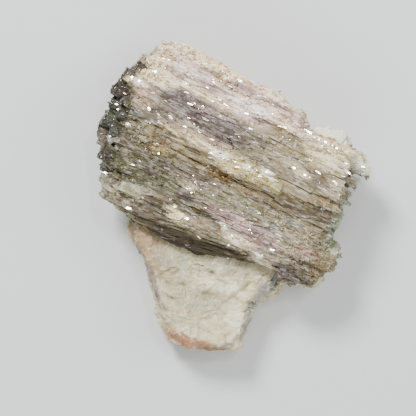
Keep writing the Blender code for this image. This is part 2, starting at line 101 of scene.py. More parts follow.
# Colours of the tourmaline's face: colour, centre u and v, half length, half width, turn, strength
FACE_ZONES = [
    # large areas
    ("pale_lilac", -18, 25.6, 27, 6.6, 0, 0.95), ("pale_lilac", 4, 24, 8, 2.4, 0, 0.85),
    ("cream", -25, 29.6, 14, 2.4, 0, 0.85), ("cream", -35, 20, 4.5, 6, 0, 0.75),
    ("cream", 0, 29, 6, 1.2, 0, 0.7), ("beige", 12, 19, 10, 3, 0, 0.7), ("plum", -22, 16.3, 10, 3, 0, 0.9),
    ("plum", -12.5, 14, 10, 2.9, 0, 0.9), ("plum", -27, 11.4, 5, 1.6, 0, 0.75),
    ("plum", -3, 15.4, 8, 2, 0, 0.6), ("rose", -33, 12.4, 3.2, 2.6, 0, 0.7),
    ("rose", -14, 9.8, 10, 1.4, 0, 0.6), ("stone", 3, 12.8, 6.5, 2.2, 0, 0.7),
    ("tan", -22, 5.2, 10, 2.4, 0, 0.8), ("tan", -9, 4.2, 9, 2.2, 0, 0.8),
    ("pale_yellow", -1, 8, 10, 1.9, 0, 0.85), ("grey_brown", -30, 0.4, 6, 2.2, 0, 0.75),
    ("olive", -28, -4.4, 7.5, 4, 0, 0.85), ("olive", -18, -5.8, 9, 2.8, 2, 0.75),
    ("grey_brown", -20, -0.8, 9, 1.4, 0, 0.75), ("stone", 2, -0.4, 17, 3.2, 0, 0.6),
    ("lilac", 2, -5.8, 8, 1.8, 2, 0.75), ("lilac", 10, -7.2, 8, 2.2, 2, 0.8),
    ("tan", 3.6, 3.4, 8, 1.5, 0, 0.8), ("brown", 15, 4, 6, 1.8, 0, 0.65),
    ("stone", 23, 1.5, 5, 3.4, 0, 0.6), ("beige", 14, 8.6, 6, 1.7, 0, 0.6),
    ("tan", 23, 8.8, 5, 1.8, 0, 0.6), ("grey_brown", 24.4, 5.5, 4.4, 1.2, 0, 0.75),
    ("silver_green", -25.5, -11.2, 6.5, 1.8, 0, 0.8), ("grey_brown", -18.2, -12, 4.2, 2, 0, 0.75),
    ("grey_brown", -17, -14.8, 6, 1.6, 4, 0.75), ("pink_brown", 24.5, -7, 5.5, 2.6, 0, 0.8),
    ("grey_brown", 24, -10.6, 5.5, 1.6, 4, 0.85), ("grey_brown", 23, -13.6, 6, 2.2, 10, 0.85),
    ("tan", 31, -6, 3, 5, 0, 0.65), ("cream", 20.6, 24.4, 6.5, 1.5, 0, 0.9),
    ("beige", 18, 21.4, 7, 1.6, 0, 0.6), ("sea_green", 30, 7.4, 1.5, 9.5, -3, 0.9),
    # bands and streaks
    ("lilac", -20, 23.2, 9, 1, 0, 0.7), ("plum", -10.8, 27, 4, 1.2, 0, 0.55),
    ("plum", -1.5, 26.6, 5, 0.7, 0, 0.6), ("grey_brown", -19.6, 26.6, 3.4, 1, 0, 0.6),
    ("ochre", -15.6, 25.6, 2.8, 0.7, 0, 0.6), ("brown", -13.6, 25.2, 1.4, 0.4, 0, 0.8),
    ("ochre", -20, 30.2, 5, 0.5, 0, 0.45), ("ochre", 4.6, 25.4, 1.2, 0.5, 0, 0.6),
    ("cream", -18, 20.3, 9, 0.55, 0, 0.75), ("cream", -30.5, 18.8, 3.2, 1.6, 10, 0.65),
    ("dark_plum", -13, 13.4, 6.5, 1.1, 0, 0.7), ("lilac", -24, 13.4, 5, 0.6, 0, 0.55),
    ("stone", -8.5, 18.4, 2.2, 1, 0, 0.7), ("ochre", -3.2, 19.3, 1.1, 0.8, 0, 0.6),
    # The dark brown strip at u 2, v 21.3 runs along the foot of a step: partly a brown seam, partly painted
    # shadow below the step.
    ("dark_brown", 2, 21.3, 8, 0.4, 0, 0.75), ("brown", 5, 20.6, 6, 0.7, 0, 0.7),
    ("pale_yellow", 14, 20.6, 4, 0.7, 0, 0.55), ("ochre", 15.5, 16.6, 1, 0.55, 0, 0.9),
    # The cream strip at u 13.4, v 13.4 is painted glints over bright flakes.
    ("cream", 13.4, 13.4, 2.8, 0.6, 0, 0.75), ("stone", 11, 16, 3, 0.9, 0, 0.55),
    ("pink_brown", 19.6, 13.8, 2.6, 1.8, 0, 0.55), ("rose", 23.4, 12, 2.6, 0.7, 0, 0.65),
    # The silver patch at u 23.4, v 14.8 is partly a painted highlight on bright striae.
    ("silver", 23.4, 14.8, 2, 1.9, 0, 0.8), ("brown", 22, 10.2, 4, 0.5, 0, 0.6),
    # The white patches at u -8.4, 5.4 and 0.2 are painted glints over bright flakes and blocks.
    ("white", -8.4, 8, 2.8, 0.9, 0, 0.9), ("white", 5.4, 9.2, 1.9, 0.9, 8, 0.85),
    ("white", 0.2, 8.2, 0.9, 0.7, 0, 0.8), ("cream", -16, 8.6, 5.5, 1, -2, 0.85),
    ("cream", -21, 8.2, 3, 0.6, 0, 0.6), ("yellow", -4, 6.4, 3.2, 1.1, 0, 0.65),
    ("yellow", 8.6, 6.8, 2, 1.7, 0, 0.75), ("yellow", 3.4, 6.2, 3, 0.9, 0, 0.55),
    # Both dark brown strips on this line run along the feet of steps: painted shadow below the steps.
    ("dark_brown", -15.6, 5.9, 1.7, 0.45, 0, 0.95), ("dark_brown", -25, 7.1, 9, 0.22, 0, 0.75),
    ("brown", -23.6, 6, 0.7, 0.9, 0, 0.75), ("tan", -29, 4.4, 2.6, 1, 0, 0.7),
    ("brown", -19, 2.2, 5, 0.8, 3, 0.55), ("ochre", -24, 1.8, 3, 1, 0, 0.55),
    ("rust", -4.8, 3.1, 1.9, 1.2, 0, 0.95), ("rust", -8.2, 2.9, 2.2, 0.7, 0, 0.45),
    # The dark brown strip at u 12, v 6.3 is painted shadow below the yellow lip.
    ("dark_brown", -11.5, 1.2, 2.4, 0.6, 0, 0.55), ("dark_brown", 12, 6.3, 2.6, 0.6, 0, 0.65),
    ("silver_green", 6.5, -1.8, 4, 0.6, 3, 0.6), ("blue_grey", 6.6, -1.6, 1.4, 0.6, 0, 0.7),
    ("silver", -11.4, -3, 1.8, 1.6, 0, 0.85), ("silver_green", -3, -3.2, 4, 0.6, 0, 0.55),
    ("dark_plum", -24.5, -4.4, 4, 1, 0, 0.7), ("dark_olive", -19, -2.9, 3, 0.6, 2, 0.6),
    ("dark_green", -28, -8.2, 5, 0.8, 3, 0.6), ("silver_green", -28.5, -4.7, 1.6, 0.6, 0, 0.7),
    ("dark_plum", -11.3, -6.2, 2.8, 1.1, 0, 0.75), ("olive", -8, -8.4, 6.5, 0.8, 3, 0.75),
    ("dark_plum", -3.4, -8.4, 3.6, 0.4, 6, 0.6), ("rose", 4.5, -8.6, 4.5, 0.6, 0, 0.3),
    ("blue_grey", 14.6, -3.6, 4, 1.2, -6, 0.7), ("blue_grey", 18.2, 0.2, 1.6, 1.2, 25, 0.8),
    ("red_brown", 24, -4.9, 3, 0.9, 4, 0.85), ("pale_lilac", 5, -5.9, 2.4, 1, 0, 0.8),
    ("silver", -31, -13.4, 3, 0.9, -2, 0.8), ("silver", -26, -14.2, 5, 0.4, -2, 0.8),
    ("dark_olive", -26.4, -13.1, 3.2, 0.4, 0, 0.95), ("dark_olive", -30.8, -10.8, 2.6, 0.9, 0, 0.8),
    ("olive", -16.6, -11, 2.4, 0.9, 0, 0.75), ("dark_plum", -19, -12.4, 1.8, 0.9, 0, 0.6),
    ("cream", -11, -11.8, 3, 1.4, -22, 0.9), ("rose", -4.5, -10.4, 4, 0.8, 0, 0.55),
    ("cream", 7, -10.4, 4.4, 1.1, 0, 0.7), ("rose", 10, -10.8, 2.4, 0.6, 0, 0.65),
    ("olive", 2.6, -12.7, 2.6, 0.4, 4, 0.85), ("grey_brown", -6, -13, 5, 0.6, 6, 0.6),
    ("brown", 9, -13.6, 4, 0.7, 6, 0.75), ("tip_green", 27, 22.6, 3.6, 2, 0, 0.85),
    ("olive", 26.6, 18, 2.4, 0.8, 0, 0.7), ("ochre", 14.4, 25.2, 2.4, 0.6, 0, 0.7),
    ("rose", 19.6, 25.2, 2.6, 0.7, 8, 0.5), ("tip_green", 32.6, -0.8, 2.2, 1.4, 0, 0.8),
    # smaller patches
    ("stone", -5.6, -1.2, 2.8, 0.8, 0, 0.8), ("grey_brown", -24.4, -13.7, 3, 0.6, -2, 0.8),
    ("cream", 0.5, 22.9, 6, 0.8, 0, 0.85), ("cream", 19, 20.4, 7, 3, 0, 0.55),
    ("silver", 6, 14.2, 6.5, 1.5, 0, 0.85), ("silver", 11.8, 15.2, 3, 0.9, 0, 0.75),
    ("dark_olive", -23.8, -3.4, 3.6, 0.9, 0, 0.8), ("grey_brown", -30.4, -0.9, 2.8, 1, 0, 0.8),
    ("silver", -5, -12.1, 3.6, 0.8, 0, 0.85), ("silver", 16.4, -11.9, 2.6, 0.9, 0, 0.85),
    ("lilac", -17.6, 16.8, 3.4, 0.9, 0, 0.75), ("grey_brown", 19.4, 3.8, 3, 1, 0, 0.8),
    ("grey_brown", 24.6, 4, 2.4, 1.2, 0, 0.75), ("grey_brown", -14.4, -8.9, 3, 0.9, 0, 0.85),
    ("dark_plum", 22.6, -12.6, 4.2, 1.6, 0, 0.8), ("cream", -16, 28.4, 4, 0.9, 0, 0.85),
    ("pale_yellow", -33.4, 26, 3, 1.3, 0, 0.6), ("sea_green", 28.6, 7.6, 1.3, 5, -3, 0.8),
    ("plum", -29, 8.4, 2.6, 0.7, 0, 0.6), ("white", -7, 22.7, 4.4, 1.2, 0, 0.9),
    ("grey_brown", -24.2, 5.2, 1.8, 0.8, 0, 0.6), ("white", -26.6, 24, 3.6, 0.9, 0, 0.7),
    ("stone", 25.6, -7.9, 2.6, 0.9, 0, 0.75), ("beige", -18.6, 3.9, 2.8, 0.9, 0, 0.8),
    ("stone", 16.2, 9, 3, 0.9, 0, 0.65), ("stone", -4.4, 20.3, 2.4, 0.5, 0, 0.65),
    ("stone", 6, 4.4, 3.4, 1.6, 0, 0.6), ("olive", -27, -8.7, 6.5, 1.2, 2, 0.85),
    ("grey_brown", -11.5, -0.4, 6, 1.5, 0, 0.9), ("grey_brown", -33, 5.1, 2.8, 1.1, 0, 0.85),
    ("dark_olive", -31.4, -11.4, 2.6, 0.8, 0, 0.85), ("stone", -9, -9.4, 2.6, 0.8, 0, 0.75),
    ("stone", 10, 7.3, 2.2, 0.7, 0, 0.6), ("grey_brown", 6.2, 19.3, 4, 0.8, 0, 0.55),
    ("stone", -14.6, 5.2, 2, 0.6, 0, 0.65), ("stone", 16.4, 9.4, 2.6, 0.8, 0, 0.55),
    ("white", -7, 29.6, 2.4, 0.9, 0, 0.75), ("stone", -30, 13.4, 2.2, 0.8, 0, 0.65),
    ("stone", 3, 21.5, 2.6, 0.6, 0, 0.7), ("grey_brown", -35, -8.2, 2.6, 1.2, 0, 0.8),
    ("dark_olive", 25.5, -11.2, 3.2, 1.3, 4, 0.6), ("beige", 3.6, 21, 3, 0.8, 0, 0.7),
    ("stone", -32.6, -11.6, 3.4, 0.8, 0, 0.8), ("silver", -29.4, 2.4, 1.4, 0.7, 0, 0.6),
    # single grains and small bright places; the white patches at u 11.4, v 24, at u -37.2, v 15.9, at u
    # -17.6, v 11.8 and at u 1.4, v -8.4 are painted glints over bright flakes
    ("white", -5.6, 23.4, 4.2, 1.6, 0, 0.85), ("white", 11.4, 24, 2, 0.8, 0, 0.8),
    ("white", -37.2, 15.9, 2.6, 0.8, 0, 0.95), ("white", -34.2, 20.3, 1.5, 0.7, 0, 0.75),
    ("white", -17.6, 11.8, 3, 0.35, 0, 0.6), ("white", -30.6, 10.6, 0.35, 0.6, 0, 0.9),
    ("white", 24, 19, 2.6, 0.5, 0, 0.75), ("white", -28.8, 7.4, 1.2, 0.22, 0, 0.9),
    ("white", -26.2, 8.5, 0.9, 0.28, 0, 0.9), ("blue_grey", -33.3, 8.2, 2, 1.3, 0, 0.85),
    ("brown", -33.5, 4.4, 1.6, 0.8, 0, 0.8), ("white", -36.4, -1.2, 1.1, 1.1, 0, 0.95),
    ("white", -34.2, -10.4, 1.1, 0.7, 0, 0.95), ("pink_brown", -38.6, -2.6, 1.6, 2, 0, 0.7),
    ("pink_brown", -32.4, -2.2, 2, 0.9, 0, 0.65), ("white", -24, -16, 1, 0.45, 0, 0.95),
    ("white", 1.4, -8.4, 1.4, 0.5, 0, 0.95), ("white", 13.2, -11.6, 0.9, 0.75, 0, 0.95),
]

# Colours that run down over the sides: the dark lower flank and the dark left end
DEEP_ZONES = [
    ("dark_olive", -13, -19, 12, 3, 0, 1), ("dark_olive", -2, -17.6, 10, 3.2, 3, 1),
    ("dark_olive", 5, -15.4, 8, 1.9, 8, 0.95), ("brown", -20.5, -17.4, 4, 1.2, 2, 0.6),
    ("flank_brown", -9, -17.4, 8, 0.5, 3, 0.8), ("flank_brown", 2, -16.4, 5, 0.45, 6, 0.8),
    ("black_brown", -6, -19, 9, 0.9, 2, 0.75), ("black_brown", 1, -16.9, 5, 0.9, 8, 0.9),
    ("black_brown", -9, -16.4, 5, 0.7, 4, 0.8), ("dark_green", -38, 4.6, 3.6, 5.6, 0, 0.9),
    ("black_brown", -39.6, 11.6, 3.4, 3.2, 0, 0.95), ("black_brown", -35.6, -6, 2.4, 5, 12, 0.85),
    ("brown", -40, 18, 1.9, 3.2, -8, 0.8), ("brown", -38.6, 22, 1.2, 3, -8, 0.6),
]

# Places covered by broken grains rather than by long crystals: u, v, half length, half width
CRUST = [
    (-25, 29.4, 15, 2.4), (-35.5, 20, 4.5, 7), (-4, 8, 9, 2.2), (6, 8, 4, 2.4), (-27, 3, 8, 3),
    (18, 24.5, 9, 3.2), (0, 28.6, 7, 1.6), (-38, 4, 4, 12), (26, -4, 8, 5), (12, -1, 6, 2.4),
    (-10, -3, 3, 2), (-6, 3, 5, 1.5), (-5, 23.4, 4.5, 1.8), (13, 13.4, 3, 1), (-14, 26.5, 6, 1.8),
]

# Smooth crystal faces, where hardly any grain sits: u, v, half length, half width
SMOOTH = [
    (17, 4.6, 6, 2.6), (-3, 22.6, 5, 1.2), (-33.3, 8.3, 2, 1.3), (14, 8.4, 5, 1.6), (-12, -17.2, 12, 2.8),
    (2, -15.6, 9, 1.8), (-25.6, -11.2, 3.6, 1.4), (-10.6, -11.6, 3, 1.5), (23.3, 14.8, 1.9, 1.9),
    (27.4, 21.6, 5, 3.2), (26.8, 17.4, 3.6, 2), (31, 6, 2, 11), (32, -5, 1.8, 6), (-40, 3, 5, 15),
    (-37.5, -2, 3.4, 9),
]

# Steps in the face: u and half length, v, how far the side with the larger v stands above the other
LEDGES = [
    (3, 9, 21.9, 0.7), (-28, 8, 7, 0.45), (4, 8, 5, 0.5), (-15.5, 2.5, 6.2, 0.7), (-20, 10, 20, 0.4),
    (16, 7, 6.9, 0.5), (-12, 9, -9.3, 0.5), (-24, 6, -13, 0.5), (-13, 9, -14.2, 0.9), (4, 7, -13.2, 0.8),
    (-21, 9, -0.6, 0.4), (23, 5, -9.6, 0.3), (-10, 9, 11.6, 0.4), (21, 6, 10.2, 0.5), (24, 4, 19.9, 0.7),
    (26, 3, 17.4, 0.5),
]

# Bright cleavage flakes that catch the light: u, v, length, width
FLAKES = [
    (-38.6, 16.2, 1, 0.9), (-37.4, 15.8, 1.3, 0.9), (-36.2, 16, 1, 0.8), (-34.4, 20.5, 1, 0.9),
    (-33.6, 20.1, 0.9, 0.7), (-30.6, 10.7, 0.6, 1.3), (-33.2, 13.6, 0.7, 0.5), (-28.8, 7.4, 2.2, 0.4),
    (-26.2, 8.5, 1.6, 0.5), (-38.4, 11.4, 1.2, 0.5), (-39.6, 7.8, 0.9, 0.5), (-38.2, 6.8, 0.8, 0.4),
    (-24.6, 11.4, 1.2, 0.4), (-19, 11.8, 1.3, 0.4), (-16.6, 12, 1.1, 0.4), (-10.6, 11.2, 1.9, 0.4),
    (-21.2, 16, 0.9, 0.5), (-18.4, 16.6, 0.9, 0.3), (-12.6, 17.4, 0.8, 0.4), (-3.4, 18, 1.6, 0.4),
    (-25.6, 21.2, 1.2, 0.5), (-18.6, 23.6, 0.6, 0.6), (-12.4, 28.2, 1.2, 0.6), (-7, 21, 1.6, 0.4),
    (-4.2, 22.4, 1.6, 0.5), (-6.6, 24, 1.5, 0.6), (-0.4, 20.5, 1.8, 0.4), (6, 20.2, 1.5, 0.4),
    (1.8, 24, 0.7, 0.4), (11, 24.2, 1.3, 0.7), (12.6, 23.6, 1.1, 0.6), (15.8, 23.6, 0.9, 0.6),
    (17.6, 23, 1.2, 0.4), (19.2, 23.4, 0.9, 0.5), (23, 18.8, 1.4, 0.5), (25, 19.2, 1.2, 0.5),
    (11.6, 13.6, 1.4, 0.5), (14.8, 13.2, 1.2, 0.5), (16, 13.5, 0.7, 0.4), (13, 13.7, 0.8, 0.3),
    (-9.8, 8, 1.2, 0.7), (-8.2, 8.4, 1.3, 0.6), (-6.8, 7.8, 1.1, 0.6), (0.2, 8.2, 1.2, 1.1),
    (5, 9.6, 1.6, 0.9), (6.2, 9.6, 1.2, 0.8), (7.2, 8.3, 1.2, 0.9), (4, 7.6, 1.1, 0.6),
    (-4.2, 5.4, 0.7, 0.6), (-9.6, 4, 0.7, 0.6), (-33.6, 4.2, 1.2, 0.6), (-24.6, 3.4, 0.7, 0.6),
    (-23, 1, 0.6, 0.5), (-28.4, -4.8, 1.6, 0.4), (-26.8, -3, 0.9, 0.4), (-10.4, -1.6, 0.9, 0.4),
    (-9.2, -1.2, 0.8, 0.4), (-8.4, -2.6, 0.8, 0.3), (-11.8, -3.6, 1.1, 0.7), (-10.2, -4.4, 1, 0.5),
    (-36.6, -0.8, 1.2, 0.9), (-36.2, -2, 0.8, 0.7), (-34.2, -10.4, 1.9, 1.1), (-31.4, -13.4, 1.6, 0.6),
    (-24, -16, 1.6, 0.8), (-23, -12.2, 1, 0.4), (-12.6, -9.9, 1.6, 0.6), (-10, -10.8, 1.3, 0.5),
    (-8.4, -11.4, 1.4, 0.5), (-5.8, -12.4, 1.3, 0.3), (0.8, -8.4, 1.7, 1), (2, -8.2, 1, 0.7),
    (6, -6, 1.2, 0.3), (13.2, -11.6, 2, 1.7), (7.4, -10.8, 1.4, 0.4), (-3, -14.5, 1.6, 0.3),
    (-0.6, -14.3, 1.2, 0.3), (5, -12.6, 0.6, 0.6), (10.6, -7.8, 0.8, 0.3), (28.6, 22.6, 1.3, 0.5),
    (22.4, 15.8, 1.6, 0.22), (22.6, 15.2, 1.7, 0.22), (22.8, 14.6, 1.7, 0.22), (23, 14, 1.9, 0.22),
    (23.6, 13.1, 2.2, 0.3), (22.4, 16.4, 1.2, 0.2),
]

# Single large crystals that lie flat in the face: u, v, length, width, turn, tone
PLATES = [
    (-12.6, -10, 2.8, 2.2, 10, 0.45), (-33.3, 8.3, 4.4, 2.3, 0, 0.5), (-25.6, -11.2, 7, 2.6, 0, 0.55),
    (9, 7.2, 3.6, 3, 12, 0.7), (14.6, 8.2, 8, 2.8, -2, 0.55), (23.3, 14.8, 4, 3.6, 0, 0.55),
    (-31, -13.4, 6, 1.4, -5, 0.8), (-11.2, -3.4, 2.6, 2, 20, 0.8), (-16, 8.5, 8, 1.5, -2, 0.75),
    (-13, 13.6, 8, 1.8, 0, 0.35), (-24, 16.4, 6, 1.6, 2, 0.4), (18.2, 0.2, 3.2, 2.2, 25, 0.35),
    (14.6, -3.6, 6, 2, -6, 0.45), (6.2, -1.6, 5, 1.4, 3, 0.55), (-21, 25, 8, 2, 0, 0.6),
    (7, -10.4, 5, 1.6, 0, 0.75), (-18, -14.6, 6, 2, 3, 0.4), (2, 12.8, 6, 2.2, 0, 0.5),
    (-29, 5.8, 4, 1.6, 0, 0.7), (23.6, -6.4, 5, 2, 0, 0.6),
]

# Where the crystals are long, thin and dark: u, v, half length, half width
FLANK = [(-15.0, -18.0, 9.0, 2.6), (-5.0, -17.0, 10.0, 3.6), (5.0, -15.6, 8.0, 2.6)]

# Where the mass steps back behind blunt crystals or the quartz: u, v, half length, half width
SETBACKS = [
    (-41, 4, 3.4, 14), (28.8, 22.3, 3.2, 3.2), (27, 17.4, 2.6, 2.2), (9, -17.4, 9, 2.6),
    (25, -15.6, 6, 2.2), (-12, -20.4, 10, 1.6),
]

# Patches of small tumbled blocks: u, v, half length, half width, number
CLUSTERS = [
    (-10.4, -11.3, 3.6, 1.5, 46), (-5.4, 23.3, 3.8, 1.4, 40), (5.6, 9.2, 1.8, 1, 22),
    (-8.4, 8, 2.6, 0.9, 24), (0.2, 8.2, 1, 0.7, 8), (-36.4, -1.4, 0.9, 0.9, 10),
    (-37.2, 15.9, 2.4, 0.8, 16), (7.6, 7, 2.4, 1.4, 26), (-3.6, 6.2, 2.6, 1, 22), (11.6, 24, 2.2, 0.8, 14),
    (-33.6, 4, 1.2, 0.7, 8), (13.4, 13.5, 2.4, 0.6, 14), (-30.6, 18.4, 3, 1.4, 22),
    (-26, 4.8, 3.4, 1.2, 24), (-11.2, -3.4, 1.6, 1.2, 12),
]

# Parts of the face with many tiny glints: u, v, half length, half width
SPARKLE = [
    (-18, 25, 22, 6), (-24, 12, 13, 3), (-4, 8, 13, 3), (14, 22, 13, 4), (-9, -2, 8, 4), (6, -6, 14, 5),
    (22, 15, 6, 4), (-33, 18, 4, 6), (-14, 16, 16, 5), (-10, -11, 10, 3),
]

# Blunt dark crystals at the left end: v, height of the axis, radius, u of the end
DARK_ENDS = [
    (11.8, 15.4, 2.9, -42.3), (16.4, 16.6, 1.9, -41.5), (7.8, 16.6, 2, -41.2), (3.8, 16.8, 2.6, -41),
    (0.2, 15.4, 2, -41.2), (-2.6, 14.2, 1.7, -39.9), (-5.4, 14.6, 1.9, -38.1), (-8.6, 13.6, 1.6, -35.8),
    (1.8, 20.6, 1.9, -37.8), (6.2, 20.8, 1.9, -38.1), (-3.8, 18.8, 1.6, -36.2), (9.8, 20.4, 1.7, -38.6),
    (9, 11.6, 2, -41.6), (4.6, 11.4, 2.2, -41), (13.6, 11.4, 1.9, -41.8), (-0.6, 11, 1.9, -41.2),
    (-4.6, 10.8, 1.7, -37.9), (-7.6, 17.6, 1.3, -33.8), (20.4, 15.4, 1.6, -39.4),
]

# Blunt pale crystals at the right end: v, height of the axis, radius, u of the start and of the end
PALE_TIPS = [(21.9, 16.8, 2.2, 19.0, 30.4), (17.4, 18.0, 1.7, 20.0, 28.9), (24.4, 14.2, 1.9, 17.0, 27.4)]

# Colours of the blunt crystals: colour, centre u and v, half length, half width, turn, strength
END_ZONES = [
    ("end_green", -38.4, 4.2, 3.8, 5, 0, 0.95), ("end_brown", -40.2, 12.6, 4, 4.4, 0, 0.95),
    ("pink_brown", -39.8, -2.6, 1.4, 3, 0, 0.55), ("stone", -35.2, -2, 1.4, 1.3, 0, 0.8),
    # The cream patch at u -38.2, v 15.4 is a painted glint over bright flakes.
    ("cream", -38.2, 15.4, 2.2, 1, 0, 0.9), ("end_olive", -35.8, -6.6, 2.6, 3.2, 0, 0.9),
    ("end_brown", -38.6, 20, 3, 3, 0, 0.8),
]
# On the pale tips, the white strips along their tops are painted highlights and the darker strips along their
# lower sides are painted shade.
TIP_ZONES = [
    ("frost_and_highlight", 25.4, 24.2, 4.6, 1.4, -4, 0.9), ("tip_body", 28.6, 22.4, 2.6, 1.6, 0, 0.9),
    ("tip_shade", 27.6, 20.6, 3.6, 0.8, 0, 0.85), ("tip_shade", 27.4, 17, 3, 1.5, 0, 0.9),
    ("frost_and_highlight", 24.6, 18.6, 2.4, 0.4, 4, 0.75), ("cream", 22.4, 21.6, 2.6, 1.6, 0, 0.8),
]

# Where the side of the quartz breaks off in steps: x, y, half length, half width
QUARTZ_STAIR = [(9.4, -25.6, 4.4, 4.4), (5.4, -31.0, 3.4, 4.4), (4.0, -36.0, 2.6, 5.0)]
QUARTZ_LUMP = [(26.0, 16.0, 9.0, 6.0)]  # the white lump beside the right tip

# Soft creases in the top of the quartz: x and y of both ends, half width, depth
CREASES = [
    (-10.9, -21, -5.8, -21.5, 0.7, 0.55), (-5.8, -21.5, -3.6, -24, 0.8, 0.65),
    (-3.6, -24, -0.9, -25.1, 0.7, 0.45), (-20.4, -24.2, -14.4, -25.1, 1.4, 0.55),
    (-14.4, -25.1, -7.7, -27.5, 1.3, 0.65), (-7.7, -27.5, -4.2, -29.1, 1.2, 0.6),
    (-3.6, -31, 4, -25, 0.9, 0.5), (-16, -31, -6, -33.5, 1.6, 0.4), (-14.8, -17.8, -6, -19, 1.2, 0.35),
]

# Colours of the quartz: colour, centre x and y, half length, half width, turn from +X, strength
QUARTZ_ZONES = [
    # Painted shade: the grey-green shade patches along the soft creases and the tourmaline's edge, the grey
    # side patches on the stepped right side, and the plum strip on the narrow left side wall.
    ("quartz_tan", -23.4, -14, 9, 4, -52, 0.95), ("quartz_plum_shade", -23.6, -21.5, 9.5, 1.2, -66, 0.85),
    ("quartz_shade", -17, -17.5, 5, 3, -30, 0.55), ("quartz_stain", -15, -39.2, 4.4, 2, -38, 0.95),
    ("quartz_stain", -8.6, -41.2, 5.4, 1.5, -12, 0.9), ("quartz_rust", -5, -42.2, 3.4, 0.7, -12, 0.7),
    ("quartz_rust", -12.5, -38.6, 3.4, 0.35, -28, 0.5), ("quartz_ochre", -15, -31.6, 1.2, 0.5, 20, 0.7),
    ("quartz_side_shade", 9.4, -25.6, 4.6, 1.7, 47, 0.9), ("quartz_side_shade", 5.4, -30.4, 3.8, 1.2, 55, 0.9),
    ("quartz_side_shade", 4, -35.6, 4, 0.9, 78, 0.85), ("quartz_side_shade", 13, -22.6, 3, 1.2, 30, 0.7),
    ("quartz_shade", -7, -31, 7, 3.6, 20, 0.4), ("quartz_shade", -4, -20.5, 9, 1.2, -14, 0.45),
    ("quartz_shade", -12, -28.6, 7, 2, -16, 0.5), ("quartz_shade", -8.4, -22, 3.4, 0.7, -6, 0.6),
    ("quartz_ochre", 2, -26.5, 3, 1.2, 30, 0.35), ("quartz_pale", -3, -24.5, 8, 1.6, -20, 0.4),
    ("quartz_pale", 0.6, -34, 2.4, 4, 10, 0.5), ("frost_and_highlight", 26, 16, 9, 3.4, -24, 0.95),
    ("quartz_ochre", 24, 15.2, 2.2, 0.8, -26, 0.55),
]

PALETTE = {
    "pale_lilac": (0.71, 0.53, 0.46),
    "lilac": (0.27, 0.19, 0.17),
    "plum": (0.11, 0.085, 0.078),
    "dark_plum": (0.073, 0.058, 0.053),
    "cream": (0.89, 0.76, 0.47),
    "white": (0.88, 0.84, 0.75),
    "pale_yellow": (0.48, 0.41, 0.19),
    "yellow": (0.52, 0.43, 0.16),
    "ochre": (0.39, 0.28, 0.095),
    "tan": (0.20, 0.15, 0.066),
    "brown": (0.10, 0.080, 0.040),
    "dark_brown": (0.056, 0.039, 0.016),
    "rust": (0.16, 0.086, 0.022),
    "olive": (0.072, 0.068, 0.034),
    "dark_olive": (0.043, 0.035, 0.018),
    "dark_green": (0.040, 0.042, 0.022),
    "black_brown": (0.034, 0.027, 0.016),
    "stone": (0.19, 0.16, 0.10),
    "beige": (0.29, 0.23, 0.12),
    "frost_and_highlight": (0.80, 0.78, 0.63),
    "flank_brown": (0.11, 0.084, 0.050),
    "rose": (0.38, 0.27, 0.19),
    "pink_brown": (0.17, 0.12, 0.088),
    "red_brown": (0.19, 0.082, 0.062),
    "silver": (0.36, 0.30, 0.20),
    "silver_green": (0.26, 0.25, 0.16),
    "blue_grey": (0.14, 0.14, 0.14),
    "sea_green": (0.25, 0.30, 0.21),
    "tip_green": (0.52, 0.52, 0.38),
    "grey_brown": (0.094, 0.075, 0.050),
    "end_body": (0.058, 0.050, 0.034),
    "end_green": (0.033, 0.033, 0.018),
    "end_brown": (0.044, 0.031, 0.020),
    "end_olive": (0.031, 0.028, 0.014),
    "tip_body": (0.52, 0.51, 0.37),
    "tip_side": (0.40, 0.38, 0.27),
    "tip_shade": (0.22, 0.20, 0.14),
    "quartz_yellow": (0.60, 0.50, 0.25),
    "quartz_tan": (0.32, 0.22, 0.11),
    "quartz_stain": (0.39, 0.20, 0.10),
    "quartz_rust": (0.17, 0.083, 0.038),
    "quartz_shade": (0.33, 0.32, 0.22),
    "quartz_ochre": (0.46, 0.35, 0.13),
    "quartz_pale": (0.82, 0.77, 0.60),
    "quartz_side_shade": (0.31, 0.30, 0.25),
    "quartz_plum_shade": (0.19, 0.15, 0.12),
}


# ---------------------------------------------------------------------------------------------- settings

class CrystalSettings(bpy.types.PropertyGroup):
    """Relief and grain of the tourmaline."""

    grid: FloatProperty(
        name="Grid", description="Size of the mesh's cells", default=0.312 * MM, unit="LENGTH")
    plate_height: FloatProperty(
        name="Plate height", description="How far long crystals stand above each other",
        default=0.75 * MM, unit="LENGTH")
    chip_height: FloatProperty(
        name="Chip height", description="How far short broken crystals stand above each other",
        default=0.42 * MM, unit="LENGTH")
    prisms: IntProperty(name="Prisms", description="Number of long striated prisms", default=3400)
    grains: IntProperty(name="Grains", description="Number of small broken grains", default=9000)
    prism_width: FloatProperty(
        name="Prism width", description="Width of a middling prism", default=0.55 * MM, unit="LENGTH")
    slabs: FloatProperty(name="Slabs", description="Share of the crystals that are flat slabs", default=0.45)
    sparkles: IntProperty(name="Sparkles", description="Number of tiny bright flakes", default=300)
    grain_size: FloatProperty(
        name="Grain size", description="Size of a middling grain", default=0.52 * MM, unit="LENGTH")
    stone: FloatVectorProperty(name="Stone", description="Colour where no other lies", subtype="COLOR",
                               default=PALETTE["stone"])
    rind: FloatVectorProperty(name="Rind", description="Green skin of the crystals", subtype="COLOR",
                              default=(0.200, 0.240, 0.165))


